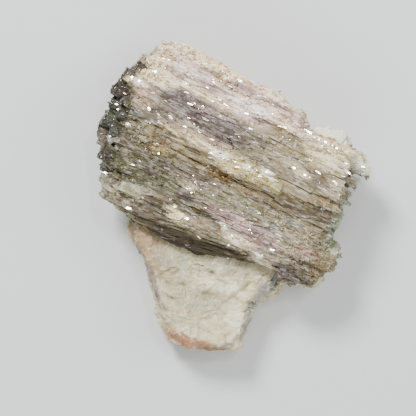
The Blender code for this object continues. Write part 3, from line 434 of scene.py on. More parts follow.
class QuartzSettings(bpy.types.PropertyGroup):
    """Relief and colour of the quartz."""

    grid: FloatProperty(name="Grid", description="Size of the mesh's cells", default=0.42 * MM, unit="LENGTH")
    roughness: FloatProperty(
        name="Roughness", description="Height of the sugary grain", default=0.10 * MM, unit="LENGTH")
    milk: FloatVectorProperty(name="Milk", description="Colour of the quartz", subtype="COLOR",
                              default=(0.53, 0.46, 0.28))


class StageSettings(bpy.types.PropertyGroup):
    """Floor, lights and camera."""

    floor: FloatVectorProperty(name="Floor", description="Colour of the floor", subtype="COLOR",
                               default=(0.580, 0.600, 0.594))
    width: FloatProperty(name="View width", description="Width of the view at the height of the crystals",
                         default=112.3 * MM, unit="LENGTH")
    distance: FloatProperty(name="Camera distance", description="Height of the camera above the crystals",
                            default=0.5, unit="LENGTH")
    key: FloatProperty(name="Key light", description="Power of the main light", default=11.6, unit="POWER")


# ---------------------------------------------------------------------------------------------- patterns

def hashed(cells, channel):
    """A random number from 0 to 1 for each whole-number cell."""
    mixed = cells @ np.array((127.1, 311.7, 74.7)) + channel * 53.31
    grown = np.sin(mixed) * 43758.5453
    return grown - np.floor(grown)


def cloud(points, channel):
    """Smooth noise from -1 to 1, with one bump to a unit."""
    base = np.floor(points)
    part = points - base
    ease = part * part * (3.0 - 2.0 * part)
    total = np.zeros(len(points))
    for corner in itertools.product((0.0, 1.0), repeat=3):
        weight = np.prod(np.where(np.array(corner) > 0.5, ease, 1.0 - ease), axis=1)
        total += weight * hashed(base + corner, channel)
    return 2.0 * total - 1.0


def scatter(points, channel, spread=0.8):
    """The nearest of seeds scattered one to a unit: its cell, the offset from it, and how deep inside its
    cell a point lies, 0 at the border."""
    base = np.floor(points)
    best = np.full(len(points), np.inf)
    second = best.copy()
    cell = base.copy()
    offset = np.zeros_like(points)
    for step in itertools.product((-1.0, 0.0, 1.0), repeat=3):
        there = base + step
        jitter = np.stack([hashed(there, channel + i) for i in range(3)], axis=1)
        away = points - (there + 0.5 + spread * (jitter - 0.5))
        reach = np.linalg.norm(away, axis=1)
        nearer = reach < best
        second = np.where(nearer, best, np.minimum(second, reach))
        best = np.where(nearer, reach, best)
        cell[nearer] = there[nearer]
        offset[nearer] = away[nearer]
    return cell, offset, second - best


def tilted(cell, offset, channel):
    """Height of a cell's flat top, which leans its own way, at an offset from the cell's seed."""
    return sum(offset[:, i] * (hashed(cell, channel + i) - 0.5) for i in range(3))


def rise(value, low, high):
    """0 at low, 1 at high, and a soft rise between."""
    t = np.clip((value - low) / (high - low), 0.0, 1.0)
    return t * t * (3.0 - 2.0 * t)


def crystal_axes(points):
    """Points in the crystals' own directions: along, across, up."""
    return np.stack([points @ ALONG, points @ ACROSS, points[:, 2]], axis=1)


def flow_turn(v):
    """How far the crystals turn from their common direction: they fan out towards the lower flank."""
    return math.radians(9.0) * rise(-v, 8.0, 17.0) + math.radians(2.0) * rise(-v, -2.0, 8.0)


def flow(place):
    """Coordinates that follow the crystals as they bend."""
    u, v, z = place.T
    bend = 0.9 * cloud(place / 15.0, 3) + 0.35 * cloud(place / 6.0, 4)
    return np.stack([u, v - u * np.tan(flow_turn(v)) + bend, z + 0.6 * cloud(place / 11.0, 7)], axis=1)


def covered(place, patches):
    """How much patches of the face cover each place: 1 in their middle, 0 outside."""
    most = np.zeros(len(place))
    for u, v, length, width in patches:
        reach = np.hypot((place[:, 0] - u) / length, (place[:, 1] - v) / width)
        most = np.maximum(most, 1.0 - rise(reach, 0.7, 1.25))
    return most


# ------------------------------------------------------------------------------------------------ meshes

def new_object(name, data):
    """Puts an object into the scene. Its mesh may be given as a bmesh, which is then freed."""
    if isinstance(data, bmesh.types.BMesh):
        mesh = bpy.data.meshes.new(name)
        data.to_mesh(mesh)
        data.free()
        data = mesh
    obj = bpy.data.objects.new(name, data)
    bpy.context.scene.collection.objects.link(obj)
    return obj


def bake(obj):
    """Replaces an object's mesh by what its modifiers make of it."""
    bpy.context.view_layer.update()
    evaluated = obj.evaluated_get(bpy.context.evaluated_depsgraph_get())
    mesh = bpy.data.meshes.new_from_object(evaluated)
    obj.modifiers.clear()
    obj.data = mesh


def remesh(obj, grid, rounds=0):
    """Makes an object one closed body of even cells, then softens it."""
    even = obj.modifiers.new("Even", "REMESH")
    even.mode = "VOXEL"
    even.voxel_size = grid
    if rounds:
        soften = obj.modifiers.new("Soften", "SMOOTH")
        soften.factor = 0.5
        soften.iterations = rounds
    bake(obj)


def even_copy(node, name, grid, rounds=0):
    """A closed copy of a solid, made of even cells."""
    bm = bmesh.new()
    bm.from_mesh(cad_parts[node].data)
    bmesh.ops.remove_doubles(bm, verts=bm.verts, dist=0.001 * MM)
    obj = new_object(name, bm)
    remesh(obj, grid, rounds)
    return obj


def open_underside(obj, height):
    """Cuts off the flat underside, so that its fine cells are not kept."""
    bm = bmesh.new()
    bm.from_mesh(obj.data)
    bmesh.ops.bisect_plane(
        bm, geom=bm.verts[:] + bm.edges[:] + bm.faces[:], dist=1e-7,
        plane_co=(0.0, 0.0, height), plane_no=(0.0, 0.0, -1.0), clear_outer=True)
    bm.to_mesh(obj.data)
    bm.free()


def close_underside(obj):
    """Fills the cut with a few large faces and leaves one closed body."""
    bm = bmesh.new()
    bm.from_mesh(obj.data)
    rim = [edge for edge in bm.edges if edge.is_boundary]
    bmesh.ops.triangle_fill(bm, edges=rim, use_beauty=False)
    bmesh.ops.recalc_face_normals(bm, faces=bm.faces)
    bm.to_mesh(obj.data)
    bm.free()


def read_points(mesh):
    """Points and normals of a mesh, in millimetres."""
    points = np.empty(len(mesh.vertices) * 3, np.float32)
    normals = np.empty(len(mesh.vertices) * 3, np.float32)
    mesh.vertices.foreach_get("co", points)
    mesh.vertices.foreach_get("normal", normals)
    return points.reshape(-1, 3).astype(float) / MM, normals.reshape(-1, 3).astype(float)


def write_points(mesh, points):
    """Sets a mesh's points, kept inside the solid model's box."""
    low, high = (np.array(corner) / MM for corner in CAD_BOX)
    inside = np.clip(points, low + BOX_MARGIN, high - BOX_MARGIN)
    inside[:, 2] = np.clip(points[:, 2], low[2], high[2] - BOX_MARGIN)
    mesh.vertices.foreach_set("co", (inside * MM).astype(np.float32).ravel())
    mesh.update()


def write_value(mesh, name, values):
    """Stores one number at each point, for the finish to read."""
    layer = mesh.attributes.new(name, "FLOAT", "POINT")
    layer.data.foreach_set("value", values.astype(np.float32))


def write_flow(mesh):
    """Stores the coordinates that follow the crystals, in metres."""
    points, _ = read_points(mesh)
    layer = mesh.attributes.new("flow", "FLOAT_VECTOR", "POINT")
    layer.data.foreach_set("vector", (flow(crystal_axes(points)) * MM).astype(np.float32).ravel())


def finish_piece(obj, node, material):
    """Gives a piece its material, hangs it on the root body and hides the solid that it stands for."""
    obj.data.materials.clear()
    obj.data.materials.append(material)
    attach(obj, "root")
    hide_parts(node)


def relief_layer(points, channel, height):
    """Steps, tilts and shallow grooves of one size of crystal: lift, and random tone, gloss and tint."""
    cell, offset, inner = scatter(points, channel)
    step = hashed(cell, channel + 5) - 0.5
    tilt = tilted(cell, offset, channel + 6)
    groove = 1.0 - rise(inner, 0.0, 0.25)
    lift = height * (step + 1.2 * tilt - 0.12 * groove)
    return lift, *(hashed(cell, channel + i) for i in (9, 10, 11))


def tourmaline_relief(points, normals, settings):
    """Lift of each point along its normal, with the tone, depth, gloss and tint of its crystal."""
    place = crystal_axes(points)
    facing = crystal_axes(normals)
    ends = rise(np.abs(facing[:, 0]), 0.5, 0.85)
    along = flow(place)
    crust = np.maximum(covered(place, CRUST), ends)
    flank = covered(place, FLANK)
    smooth = np.maximum(covered(place, SMOOTH), flank)
    plate_lift, plate_tone, _, tint = relief_layer(along / (9.0, 2.0, 2.0), 11, settings.plate_height / MM)
    chip_lift, chip_tone, gloss, _ = relief_layer(along / (3.2, 1.0, 1.0), 31, settings.chip_height / MM)
    lump_lift, lump_tone, lump_gloss, _ = relief_layer(points / 1.8, 51, 1.4 * settings.chip_height / MM)
    fine = (1.0 - 0.8 * smooth) * ((1.0 - crust) * chip_lift + crust * lump_lift)
    striae = cloud(along / (8.0, 0.6, 0.6), 71) * (1.0 - crust)
    lift = (1.0 - 0.5 * smooth) * plate_lift + fine + 0.07 * striae
    lift += 0.3 * cloud(points / 9.0, 81) - 0.15
    top = rise(facing[:, 2], 0.3, 0.7)
    ribs = 0.55 * cloud(along / (18.0, 0.9, 0.9), 73) + 0.30 * cloud(along / (9.0, 0.45, 0.45), 74)
    lift += flank * (ribs - 0.45)
    lift -= 1.4 * covered(place, SETBACKS) * (1.0 - 0.7 * top)
    wave = 0.35 * cloud(place / 3.0, 91)
    for u, length, v, height in LEDGES:
        across = place[:, 1] - v - wave
        span = 1.0 - rise(np.abs(place[:, 0] - u) / length, 0.6, 1.1)
        edge = rise(across, -0.25, 0.25)
        foot = rise(across, -2.2, -0.3) * (1.0 - edge)
        lift += 0.7 * top * height * span * (edge * (1.0 - rise(across, 0.3, 3.5)) - 0.5 * foot)
    tone = 0.45 * plate_tone + 0.55 * np.where(crust > 0.5, lump_tone, chip_tone)
    # depth is high on raised crystals and low in hollows; the finish turns it into painted light and shade.
    depth = 0.5 * plate_lift + 1.1 * fine + 0.8 * striae * 0.12 - 0.12
    return lift, tone, depth, np.where(crust > 0.5, lump_gloss, gloss), tint


def notch(points):
    """How far the lower edge gives way, across the crystals, where the quartz climbs beside it."""
    u, v, _ = crystal_axes(points).T
    edge = -16.4 + 4.2 * rise(u, 8.0, 17.0)
    return 0.85 * np.maximum(edge - v, 0.0) * rise(u, 6.0, 9.0) * (1.0 - rise(u, 19.4, 20.8))


class SPECIMEN_OT_crystal_mass(bpy.types.Operator):
    """Grow the mass of the tourmaline: long plates, short chips and ledges in relief"""

    bl_idname = "specimen.crystal_mass"
    bl_label = "Crystal Mass"

    def execute(self, context):
        settings = context.scene.specimen_crystals
        obj = even_copy(CRYSTAL_NODE, "tourmaline_mass", settings.grid)
        low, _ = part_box(CRYSTAL_NODE)
        open_underside(obj, low.z + 0.06 * MM)
        points, normals = read_points(obj.data)
        lift, *looks = tourmaline_relief(points, normals, settings)
        free = rise(points[:, 2], low.z / MM, low.z / MM + 1.0)
        write_flow(obj.data)
        moved = points + normals * (lift * free)[:, None]
        write_points(obj.data, moved + ACROSS * notch(moved)[:, None])
        for name, values in zip(LOOKS, looks):
            write_value(obj.data, name, values)
        close_underside(obj)
        finish_piece(obj, CRYSTAL_NODE, tourmaline_finish(context.scene))
        return {"FINISHED"}


class CrystalHeap:
    """Gathers many small crystals into one mesh, a batch at a time."""

    BATCH = 150  # a bmesh grows slow with many crystals, so they are made a few at a time

    def __init__(self, name):
        self.name = name
        self.whole = bmesh.new()
        self.count = 0
        self.start_batch()

    def start_batch(self):
        """Opens an empty bmesh that the next crystals are made in."""
        self.batch = bmesh.new()
        self.layers = [self.batch.verts.layers.float.new(key) for key in LOOKS]

    def end_batch(self):
        """Adds the crystals made since the last batch to the whole."""
        mesh = bpy.data.meshes.new("batch")
        self.batch.to_mesh(mesh)
        self.batch.free()
        self.whole.from_mesh(mesh)
        bpy.data.meshes.remove(mesh)

    def shape(self, verts, place, *looks):
        """Puts a crystal's points in place and marks them."""
        for vert in verts:
            vert.co = place @ vert.co
            for layer, value in zip(self.layers, looks):
                vert[layer] = value
        self.count += 1
        if self.count % self.BATCH == 0:
            self.end_batch()
            self.start_batch()

    def finished(self):
        """The object that holds all the crystals."""
        self.end_batch()
        bmesh.ops.recalc_face_normals(self.whole, faces=self.whole.faces)
        obj = new_object(self.name, self.whole)
        points, _ = read_points(obj.data)
        write_points(obj.data, points)
        write_flow(obj.data)
        return obj


def spots_on(node, count, seed, lowest):
    """Random places on a solid's surface, in millimetres, and the normals there. None is on the underside."""
    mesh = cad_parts[node].data
    mesh.calc_loop_triangles()
    corners = np.empty(len(mesh.loop_triangles) * 3, np.int32)
    mesh.loop_triangles.foreach_get("vertices", corners)
    points, _ = read_points(mesh)
    a, b, c = (points[corners.reshape(-1, 3)[:, i]] for i in range(3))
    cross = np.cross(b - a, c - a)
    area = np.linalg.norm(cross, axis=1)
    normal = cross / np.maximum(area, 1e-9)[:, None]
    area = area * (normal[:, 2] > UNDERSIDE)
    rng = np.random.default_rng(seed)
    chosen = rng.choice(len(area), size=count, p=area / area.sum())
    s, t = rng.random((2, count))
    s, t = np.where(s + t > 1.0, 1.0 - s, s), np.where(s + t > 1.0, 1.0 - t, t)
    spots = a[chosen] + (b - a)[chosen] * s[:, None] + (c - a)[chosen] * t[:, None]
    keep = spots[:, 2] > lowest
    return spots[keep], normal[chosen][keep]


def surface_near(surface, spot, normal):
    """The point of the finished surface under a place of the solid, or None."""
    start = Vector(spot * MM) + Vector(normal) * 2.2 * MM
    hit, _, _, _ = surface.ray_cast(start, -Vector(normal), 5.0 * MM)
    return hit


def frame_on(normal, turn, tilt):
    """Axes of a crystal lying on a surface: x along the crystals, z out of the surface, then tilted."""
    out = Vector(normal)
    along = Vector((math.cos(AXIS + turn), math.sin(AXIS + turn), 0.0))
    flat = along - out * along.dot(out)
    if flat.length < 0.5:
        flat = out.orthogonal()
    flat.normalize()
    across = out.cross(flat).normalized()
    basis = Matrix((flat, across, out)).transposed()
    return (basis @ Euler(tilt).to_matrix()).to_4x4()


def tree_of(name):
    """A finished piece as a tree of faces, to find places on it."""
    return BVHTree.FromObject(bpy.data.objects[name], bpy.context.evaluated_depsgraph_get())


class SPECIMEN_OT_crystal_prisms(bpy.types.Operator):
    """Lay long striated prisms along the tourmaline"""

    bl_idname = "specimen.crystal_prisms"
    bl_label = "Crystal Prisms"

    def execute(self, context):
        settings = context.scene.specimen_crystals
        rng = random.Random(11)
        surface = tree_of("tourmaline_mass")
        low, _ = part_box(CRYSTAL_NODE)
        spots, normals = spots_on(CRYSTAL_NODE, 3 * settings.prisms, 21, low.z / MM + 1.2)
        place = crystal_axes(spots)
        crust = covered(place, CRUST)
        flank = covered(place, FLANK)
        blunt = covered(place, SETBACKS)
        turns = flow_turn(place[:, 1])
        heap = CrystalHeap("tourmaline_prisms")
        for u, v, length, width, turn, tone in PLATES:
            lay_plate(heap, surface, u, v, length * MM, width * MM, math.radians(turn), tone, rng)
        for i, (spot, normal) in enumerate(zip(spots, normals)):
            if heap.count == settings.prisms:
                break
            if rng.random() < max(0.85 * crust[i], 0.5 * flank[i], blunt[i]) or abs(normal @ ALONG) > 0.5:
                continue
            lay_prism(heap, surface, spot, normal, turns[i], flank[i], settings, rng)
        if heap.count < 0.6 * settings.prisms:
            raise RuntimeError(f"only {heap.count} prisms found room on the face")
        stone = bpy.data.objects["tourmaline_mass"].data.materials[0]
        finish_piece(heap.finished(), CRYSTAL_NODE, stone)
        return {"FINISHED"}


def surface_below(surface, u, v):
    """The highest point of a surface at a place of the face, or None."""
    x, y, _ = (ALONG * u + ACROSS * v) * MM
    hit, _, _, _ = surface.ray_cast(Vector((x, y, 0.1)), -UP)
    return hit


def lay_plate(heap, surface, u, v, length, width, turn, tone, rng):
    """One large flat crystal whose top lies level with the highest ground under it."""
    thick = 1.2 * MM
    proud = 0.16 * MM
    reach = 0.35 * length / MM * math.cos(turn)
    found = [surface_below(surface, u + step * reach, v) for step in (-1.0, 0.0, 1.0)]
    if None in found:
        raise RuntimeError(f"no surface under the plate at {u}, {v}")
    lean = math.atan2(found[2].z - found[0].z, 2.0 * reach * MM)
    basis = frame_on(UP, turn, (rng.uniform(-0.05, 0.08), -lean, 0.0))
    verts = bmesh.ops.create_cube(heap.batch, size=1.0)["verts"]
    for vert in verts:
        sides = (length * rng.uniform(0.75, 1.1), width * rng.uniform(0.75, 1.1), thick)
        vert.co = Vector(vert.co[i] * sides[i] for i in range(3))
    rims = {edge for vert in verts for edge in vert.link_edges}
    verts = bevelled(heap.batch, verts, rims, 0.12 * MM, 1)
    centre = (found[0] + found[1] + found[2]) / 3.0 + UP * (proud - 0.5 * thick)
    heap.shape(verts, Matrix.Translation(centre) @ basis, tone, 0.12, 0.6, 0.5)


def bevelled(bm, verts, rims, offset, segments):
    """Bevels edges and gives the points that the body then has."""
    made = bmesh.ops.bevel(
        bm, geom=list(rims), affect="EDGES", offset=offset, segments=segments, profile=0.5, material=-1)
    return set(made["verts"]) | {vert for vert in verts if vert.is_valid}


def lay_prism(heap, surface, spot, normal, turn, flank, settings, rng):
    """One striated prism or flat slab half sunk in the surface, or nothing where the ground is too uneven."""
    flat = rng.random() < settings.slabs * (1.0 - flank)
    length = min(10.0, max(1.4, rng.lognormvariate(1.1, 0.5))) * (1.0 + flank)
    width = settings.prism_width * rng.uniform(0.6, 1.5) * (0.75 + 0.05 * length) * (1.0 - 0.35 * flank)
    if flat:
        width = settings.prism_width * rng.uniform(1.2, 3.4)
    turn += math.radians(rng.gauss(0.0, 1.8 - 1.2 * flank))
    basis = frame_on(normal, turn, (0.0, 0.0, 0.0))
    along = np.array(basis.col[0][:3])
    found = [surface_near(surface, spot + along * reach * length, normal) for reach in (-0.47, 0.0, 0.47)]
    if None in found:
        return
    lean = (found[2] - found[0]).dot(Vector(normal)) / (0.94 * length * MM)
    if abs(lean) > 0.3:
        return
    middle = (found[0] + found[1] + found[2]) / 3.0
    looks = (rng.random(), 0.1, max(rng.random(), 0.5 * flank), rng.random())
    if flat:
        thick = rng.uniform(0.5, 0.9) * MM
        basis = frame_on(normal, turn, (rng.gauss(0.0, 0.10), -math.atan(lean) + rng.gauss(0.0, 0.02), 0.0))
        made = bmesh.ops.create_cube(heap.batch, size=1.0)
        for vert in made["verts"]:
            sides = (length * MM * rng.uniform(0.75, 1.1), width * rng.uniform(0.75, 1.15), thick)
            vert.co = Vector(vert.co[i] * sides[i] for i in range(3))
        centre = middle + Vector(normal) * (rng.uniform(-0.02, 0.13) * MM - 0.5 * thick)
        heap.shape(made["verts"], Matrix.Translation(centre) @ basis, *looks)
        return
    thick = rng.uniform(0.5, 0.9)
    proud = rng.uniform(0.0, 0.13 + 0.12 * flank) * MM
    basis = frame_on(normal, turn, (0.0, -math.atan(lean), 0.0))
    made = bmesh.ops.create_cone(
        heap.batch, cap_ends=True, segments=rng.choice((5, 6, 6, 7)), radius1=0.5 * width,
        radius2=0.5 * width * rng.uniform(0.7, 1.0), depth=length * MM,
        matrix=Matrix.Rotation(rng.uniform(0.0, math.tau), 4, "Z"))
    slants = [(rng.uniform(-0.9, 0.9), rng.uniform(-0.9, 0.9)) for _ in range(2)]
    for vert in made["verts"]:
        slant = slants[0] if vert.co.z < 0.0 else slants[1]
        reach = rng.uniform(0.85, 1.15)
        vert.co.z += slant[0] * vert.co.x + slant[1] * vert.co.y
        vert.co.x *= reach
        vert.co.y *= reach * thick
        vert.co = Vector((vert.co.z, vert.co.x, vert.co.y))
    centre = middle + Vector(normal) * (proud - 0.5 * width * thick)
    heap.shape(made["verts"], Matrix.Translation(centre) @ basis, *looks)


class SPECIMEN_OT_crystal_grains(bpy.types.Operator):
    """Strew small broken grains and patches of tumbled blocks over the tourmaline"""

    bl_idname = "specimen.crystal_grains"
    bl_label = "Crystal Grains"

    def execute(self, context):
        settings = context.scene.specimen_crystals
        rng = random.Random(12)
        surface = tree_of("tourmaline_mass")
        low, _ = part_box(CRYSTAL_NODE)
        spots, normals = spots_on(CRYSTAL_NODE, 3 * settings.grains, 22, low.z / MM + 0.8)
        place = crystal_axes(spots)
        crust = covered(place, CRUST) * rise(normals[:, 2], 0.5, 0.8)
        bare = covered(place, SMOOTH + FLANK + SETBACKS)
        turns = flow_turn(place[:, 1])
        heap = CrystalHeap("tourmaline_grains")
        for i, (spot, normal) in enumerate(zip(spots, normals)):
            if heap.count == settings.grains:
                break
            upright = 1.0 - max(0.0, min(1.0, (normal[2] - 0.2) / 0.4))
            if rng.random() < max(min(1.0, 1.5 * bare[i]), 0.5 - 0.5 * crust[i], 0.92 * upright):
                continue
            point = surface_near(surface, spot, normal)
            if point is None:
                continue
            size = settings.grain_size * rng.lognormvariate(0.0, 0.32)
            rough = 0.20 + 0.8 * crust[i]
            tilt = [rng.gauss(0.0, rough) for _ in range(3)]
            tilt[2] *= 0.5
            stretch = rng.uniform(1.0, 1.4) + (1.0 - crust[i]) * rng.uniform(0.4, 2.8)
            sides = (size * stretch, size * rng.uniform(0.6, 1.0), size * rng.uniform(0.5, 0.9))
            sunk = rng.uniform(-0.30, 0.12) - 0.22 * upright
            centre = point + Vector(normal) * (sunk * size)
            lay_grain(heap, centre, frame_on(normal, turns[i], tilt), sides, rng)
        if heap.count < 0.7 * settings.grains:
            raise RuntimeError(f"only {heap.count} grains found room")
        self.lay_clusters(heap, surface, settings, rng)
        stone = bpy.data.objects["tourmaline_mass"].data.materials[0]
        finish_piece(heap.finished(), CRYSTAL_NODE, stone)
        return {"FINISHED"}

    def lay_clusters(self, heap, surface, settings, rng):
        """Tumbled blocks, close together, where the face is crushed."""
        for u, v, length, width, number in CLUSTERS:
            for _ in range(number):
                angle, reach = rng.uniform(0.0, math.tau), math.sqrt(rng.random())
                place = (u + length * reach * math.cos(angle), v + width * reach * math.sin(angle))
                point = surface_below(surface, *place)
                if point is None:
                    continue
                size = settings.grain_size * rng.uniform(1.0, 2.0)
                sides = (size * rng.uniform(1.2, 2.4), size, 0.7 * size)
                tilt = (rng.gauss(0.0, 0.22), rng.gauss(0.0, 0.15), rng.gauss(0.0, 0.3))
                lay_grain(heap, point - UP * (0.22 * size), frame_on(UP, 0.0, tilt), sides, rng)


def lay_grain(heap, centre, basis, sides, rng):
    """One broken block with uneven corners."""
    made = bmesh.ops.create_cube(heap.batch, size=1.0)
    for vert in made["verts"]:
        vert.co = Vector(vert.co[i] * sides[i] * rng.uniform(0.7, 1.15) for i in range(3))
    tone, gloss, tint = rng.random(), rng.random(), rng.random()
    heap.shape(made["verts"], Matrix.Translation(centre) @ basis, tone, 0.08, gloss, tint)


class SPECIMEN_OT_crystal_flakes(bpy.types.Operator):
    """Set bright cleavage flakes into the tourmaline's face"""

    bl_idname = "specimen.crystal_flakes"
    bl_label = "Crystal Flakes"

    LIGHT = Vector((-0.17, 0.30, 0.94))  # the flakes face half-way between the eye and the main light

    def execute(self, context):
        rng = random.Random(13)
        names = ("tourmaline_mass", "tourmaline_dark_ends", "tourmaline_pale_tips")
        surfaces = [tree_of(name) for name in names]
        heap = CrystalHeap("tourmaline_flakes")
        for u, v, length, width in FLAKES:
            for _ in range(3 if width > 0.55 else 1):
                du, dv = rng.uniform(-0.3, 0.3) * length, rng.uniform(-0.3, 0.3) * width
                size = (length * rng.uniform(0.6, 1.0), width * rng.uniform(0.5, 1.0))
                if not self.lay_flake(heap, surfaces, u + du, v + dv, *size, 0.07, rng):
                    raise RuntimeError(f"no surface under the flake at {u}, {v}")
        spots, normals = spots_on(CRYSTAL_NODE, 20 * context.scene.specimen_crystals.sparkles, 23, 0.0)
        place = crystal_axes(spots)
        chance = covered(place, SPARKLE) * rise(normals[:, 2], 0.6, 0.9)
        wanted = heap.count + context.scene.specimen_crystals.sparkles
        for (u, v, _), share in zip(place, chance):
            if heap.count < wanted and rng.random() < 0.5 * share:
                width = 0.20 * rng.lognormvariate(0.0, 0.35)
                self.lay_flake(heap, surfaces, u, v, width * rng.uniform(2.0, 6.0), width, 0.12, rng)
        finish_piece(heap.finished(), CRYSTAL_NODE, flake_finish())
        return {"FINISHED"}

    def lay_flake(self, heap, surfaces, u, v, length, width, spread, rng):
        """One bright flake flush with the surface; says whether there is a surface under it."""
        hits = [hit for hit in (surface_below(surface, u, v) for surface in surfaces) if hit is not None]
        if not hits:
            return False
        hit = max(hits, key=lambda place: place.z)
        tilt = [rng.gauss(0.0, spread), rng.gauss(0.0, spread), rng.gauss(0.0, 0.15)]
        basis = frame_on(self.LIGHT.normalized(), 0.0, tilt)
        made = bmesh.ops.create_cube(heap.batch, size=1.0)
        for vert in made["verts"]:
            vert.co.x *= length * MM * rng.uniform(0.7, 1.15)
            vert.co.y *= width * MM * rng.uniform(0.6, 1.15)
            vert.co.z *= 0.5 * MM
        centre = hit + UP * ((0.02 + 0.10 * width) * MM)
        heap.shape(made["verts"], Matrix.Translation(centre) @ basis, 0.9, 0.3, 1.0, 0.5)
        return True


def in_order(bm):
    """The same faces in a fixed order, each from its lowest corner. A bevel starts them at other corners on
    every run, and the shape that is remeshed from them would follow."""
    verts = sorted(bm.verts, key=lambda vert: vert.co.zyx[:])
    rank = {vert: i for i, vert in enumerate(verts)}
    ordered = bmesh.new()
    made = [ordered.verts.new(vert.co) for vert in verts]
    faces = []
    for face in bm.faces:
        corners = [rank[vert] for vert in face.verts]
        first = corners.index(min(corners))
        faces.append(corners[first:] + corners[:first])
    for corners in sorted(faces):
        ordered.faces.new([made[i] for i in corners])
    bm.free()
    return ordered


class SPECIMEN_OT_crystal_ends(bpy.types.Operator):
    """Set the large blunt crystals: dark ones at the left end, pale ones at the right"""

    bl_idname = "specimen.crystal_ends"
    bl_label = "Crystal Ends"

    DEEP_IN = -29.0  # how far the dark crystals reach into the mass, along u

    def execute(self, context):
        rng = random.Random(14)
        bm = bmesh.new()
        for v, height, radius, end in DARK_ENDS:
            self.lay_blunt(bm, (end, self.DEEP_IN + 0.6 * height - 10.0), v, height, radius, rng)
        dark = blunt_finish("green black tourmaline", PALETTE["end_body"], END_ZONES)
        self.grow(bm, "tourmaline_dark_ends", 171, dark)
        bm = bmesh.new()
        for v, height, radius, start, end in PALE_TIPS:
            self.lay_blunt(bm, (start, end), v, height, radius, rng)
        pale = blunt_finish("pale green tourmaline", PALETTE["tip_side"], TIP_ZONES)
        self.grow(bm, "tourmaline_pale_tips", 181, pale)
        return {"FINISHED"}

    def lay_blunt(self, bm, span, v, height, radius, rng):
        """One six- to eight-sided prism along the crystals, with rounded ends."""
        length = span[1] - span[0]
        made = bmesh.ops.create_cone(
            bm, cap_ends=True, segments=rng.choice((6, 7, 8)), radius1=radius * MM,
            radius2=radius * rng.uniform(0.92, 1.0) * MM, depth=length * MM)
        verts = made["verts"]
        for vert in verts:
            reach = rng.uniform(0.9, 1.05)
            shift = rng.uniform(-0.12, 0.12) * radius * MM
            vert.co = Vector((vert.co.z + shift, vert.co.x * reach, vert.co.y * reach))
        half = 0.5 * length * MM
        rims = {edge for vert in verts for edge in vert.link_edges
                if abs(edge.verts[0].co.x - edge.verts[1].co.x) < half}
        moved = bevelled(bm, verts, rims, 0.42 * radius * MM, 3)
        centre = Vector(ALONG * (0.5 * (span[0] + span[1])) + ACROSS * v + np.array((0.0, 0.0, height))) * MM
        turn = Matrix.Rotation(AXIS + math.radians(rng.uniform(-4.0, 4.0)), 4, "Z")
        slope = Matrix.Rotation(math.radians(rng.uniform(-4.0, 4.0)), 4, "Y")
        bmesh.ops.transform(bm, matrix=Matrix.Translation(centre) @ turn @ slope, verts=list(moved))

    def grow(self, bm, name, channel, material):
        """Joins the prisms into one body with a finely pitted skin."""
        obj = new_object(name, in_order(bm))
        remesh(obj, 0.26 * MM, 2)
        points, normals = read_points(obj.data)
        along = flow(crystal_axes(points))
        chip_lift, *looks = relief_layer(along / (2.4, 1.1, 1.1), channel, 0.20)
        facet_lift, *_ = relief_layer(points / 3.2, channel + 20, 0.45)
        lift = chip_lift + facet_lift + 0.10 * cloud(along / (3.0, 0.5, 0.5), channel + 7)
        write_flow(obj.data)
        write_points(obj.data, points + normals * lift[:, None])
        write_value(obj.data, "depth", chip_lift)
        for key, values in zip(("tone", "gloss", "tint"), looks):
            write_value(obj.data, key, values)
        finish_piece(obj, CRYSTAL_NODE, material)


def creased(points, normals):
    """How deep the soft creases of the top lie at each point."""
    fold = np.zeros(len(points))
    for x0, y0, x1, y1, width, deep in CREASES:
        span = np.array((x1 - x0, y1 - y0))
        share = np.clip((points[:, :2] - (x0, y0)) @ span / (span @ span), 0.0, 1.0)
        gap = np.linalg.norm(points[:, :2] - (x0, y0) - share[:, None] * span, axis=1)
        fold += deep * np.exp(-(gap / width) ** 2) * rise(normals[:, 2], 0.3, 0.7)
    return fold


def quartz_relief(points, normals, settings):
    """Lift of each point of the quartz along its normal, with the tone and depth of its place."""
    plate, offset, _ = scatter(points / 6.5, 101)
    chip, chip_offset, _ = scatter(points / 1.9, 121)
    chip_tilt = tilted(chip, chip_offset, 126)
    swell = 2.6 * cloud(points / (10.0, 5.0, 8.0) + 0.25 * cloud(points / 3.0, 142)[:, None], 141)
    terrace = np.floor(swell) + rise(swell - np.floor(swell), 0.35, 1.0) - swell
    lift = 0.9 * tilted(plate, offset, 106) + 0.5 * chip_tilt + 0.4 * terrace
    lift = lift + 0.35 * cloud(points / 2.2, 143)
    fold = creased(points, normals)
    lift -= 1.3 * fold
    # broken blocks on the stepped side, on the lump and on every wall
    block, _, _ = scatter(points / (2.2, 1.6, 2.2), 171)
    broken = np.maximum(covered(points, QUARTZ_STAIR), 0.8 * covered(points, QUARTZ_LUMP))
    wall = 1.0 - rise(np.abs(normals[:, 2]), 0.3, 0.7)
    lift += (1.1 * broken + 0.7 * wall) * (hashed(block, 175) - 0.5)
    grain = cloud(points / 0.8, 151) + 0.6 * cloud(points / 0.45, 152)
    lift += settings.roughness / MM * grain
    # the lump, the left side and the foot of the wedge swell a little
    lift += 1.0 * covered(points, [(25.0, 17.0, 9.0, 6.0)]) * rise(normals[:, 2], -0.2, 0.2)
    lift += 0.9 * covered(points, [(-14.0, -33.0, 12.0, 14.0)]) * (1.0 - rise(normals[:, 2], 0.2, 0.7))
    lift += 1.4 * rise(-points[:, 1], 33.0, 40.0) * rise(-normals[:, 1], 0.2, 0.7)
    tone = 0.6 * hashed(plate, 109) + 0.4 * hashed(chip, 129)
    # The third value, depth, is high on raised and tilted-up chips and low in the creases; the finish turns
    # it into painted light and shade.
    return lift, tone, 0.7 * chip_tilt + 0.25 * grain + 0.25 * terrace - 0.35 * fold


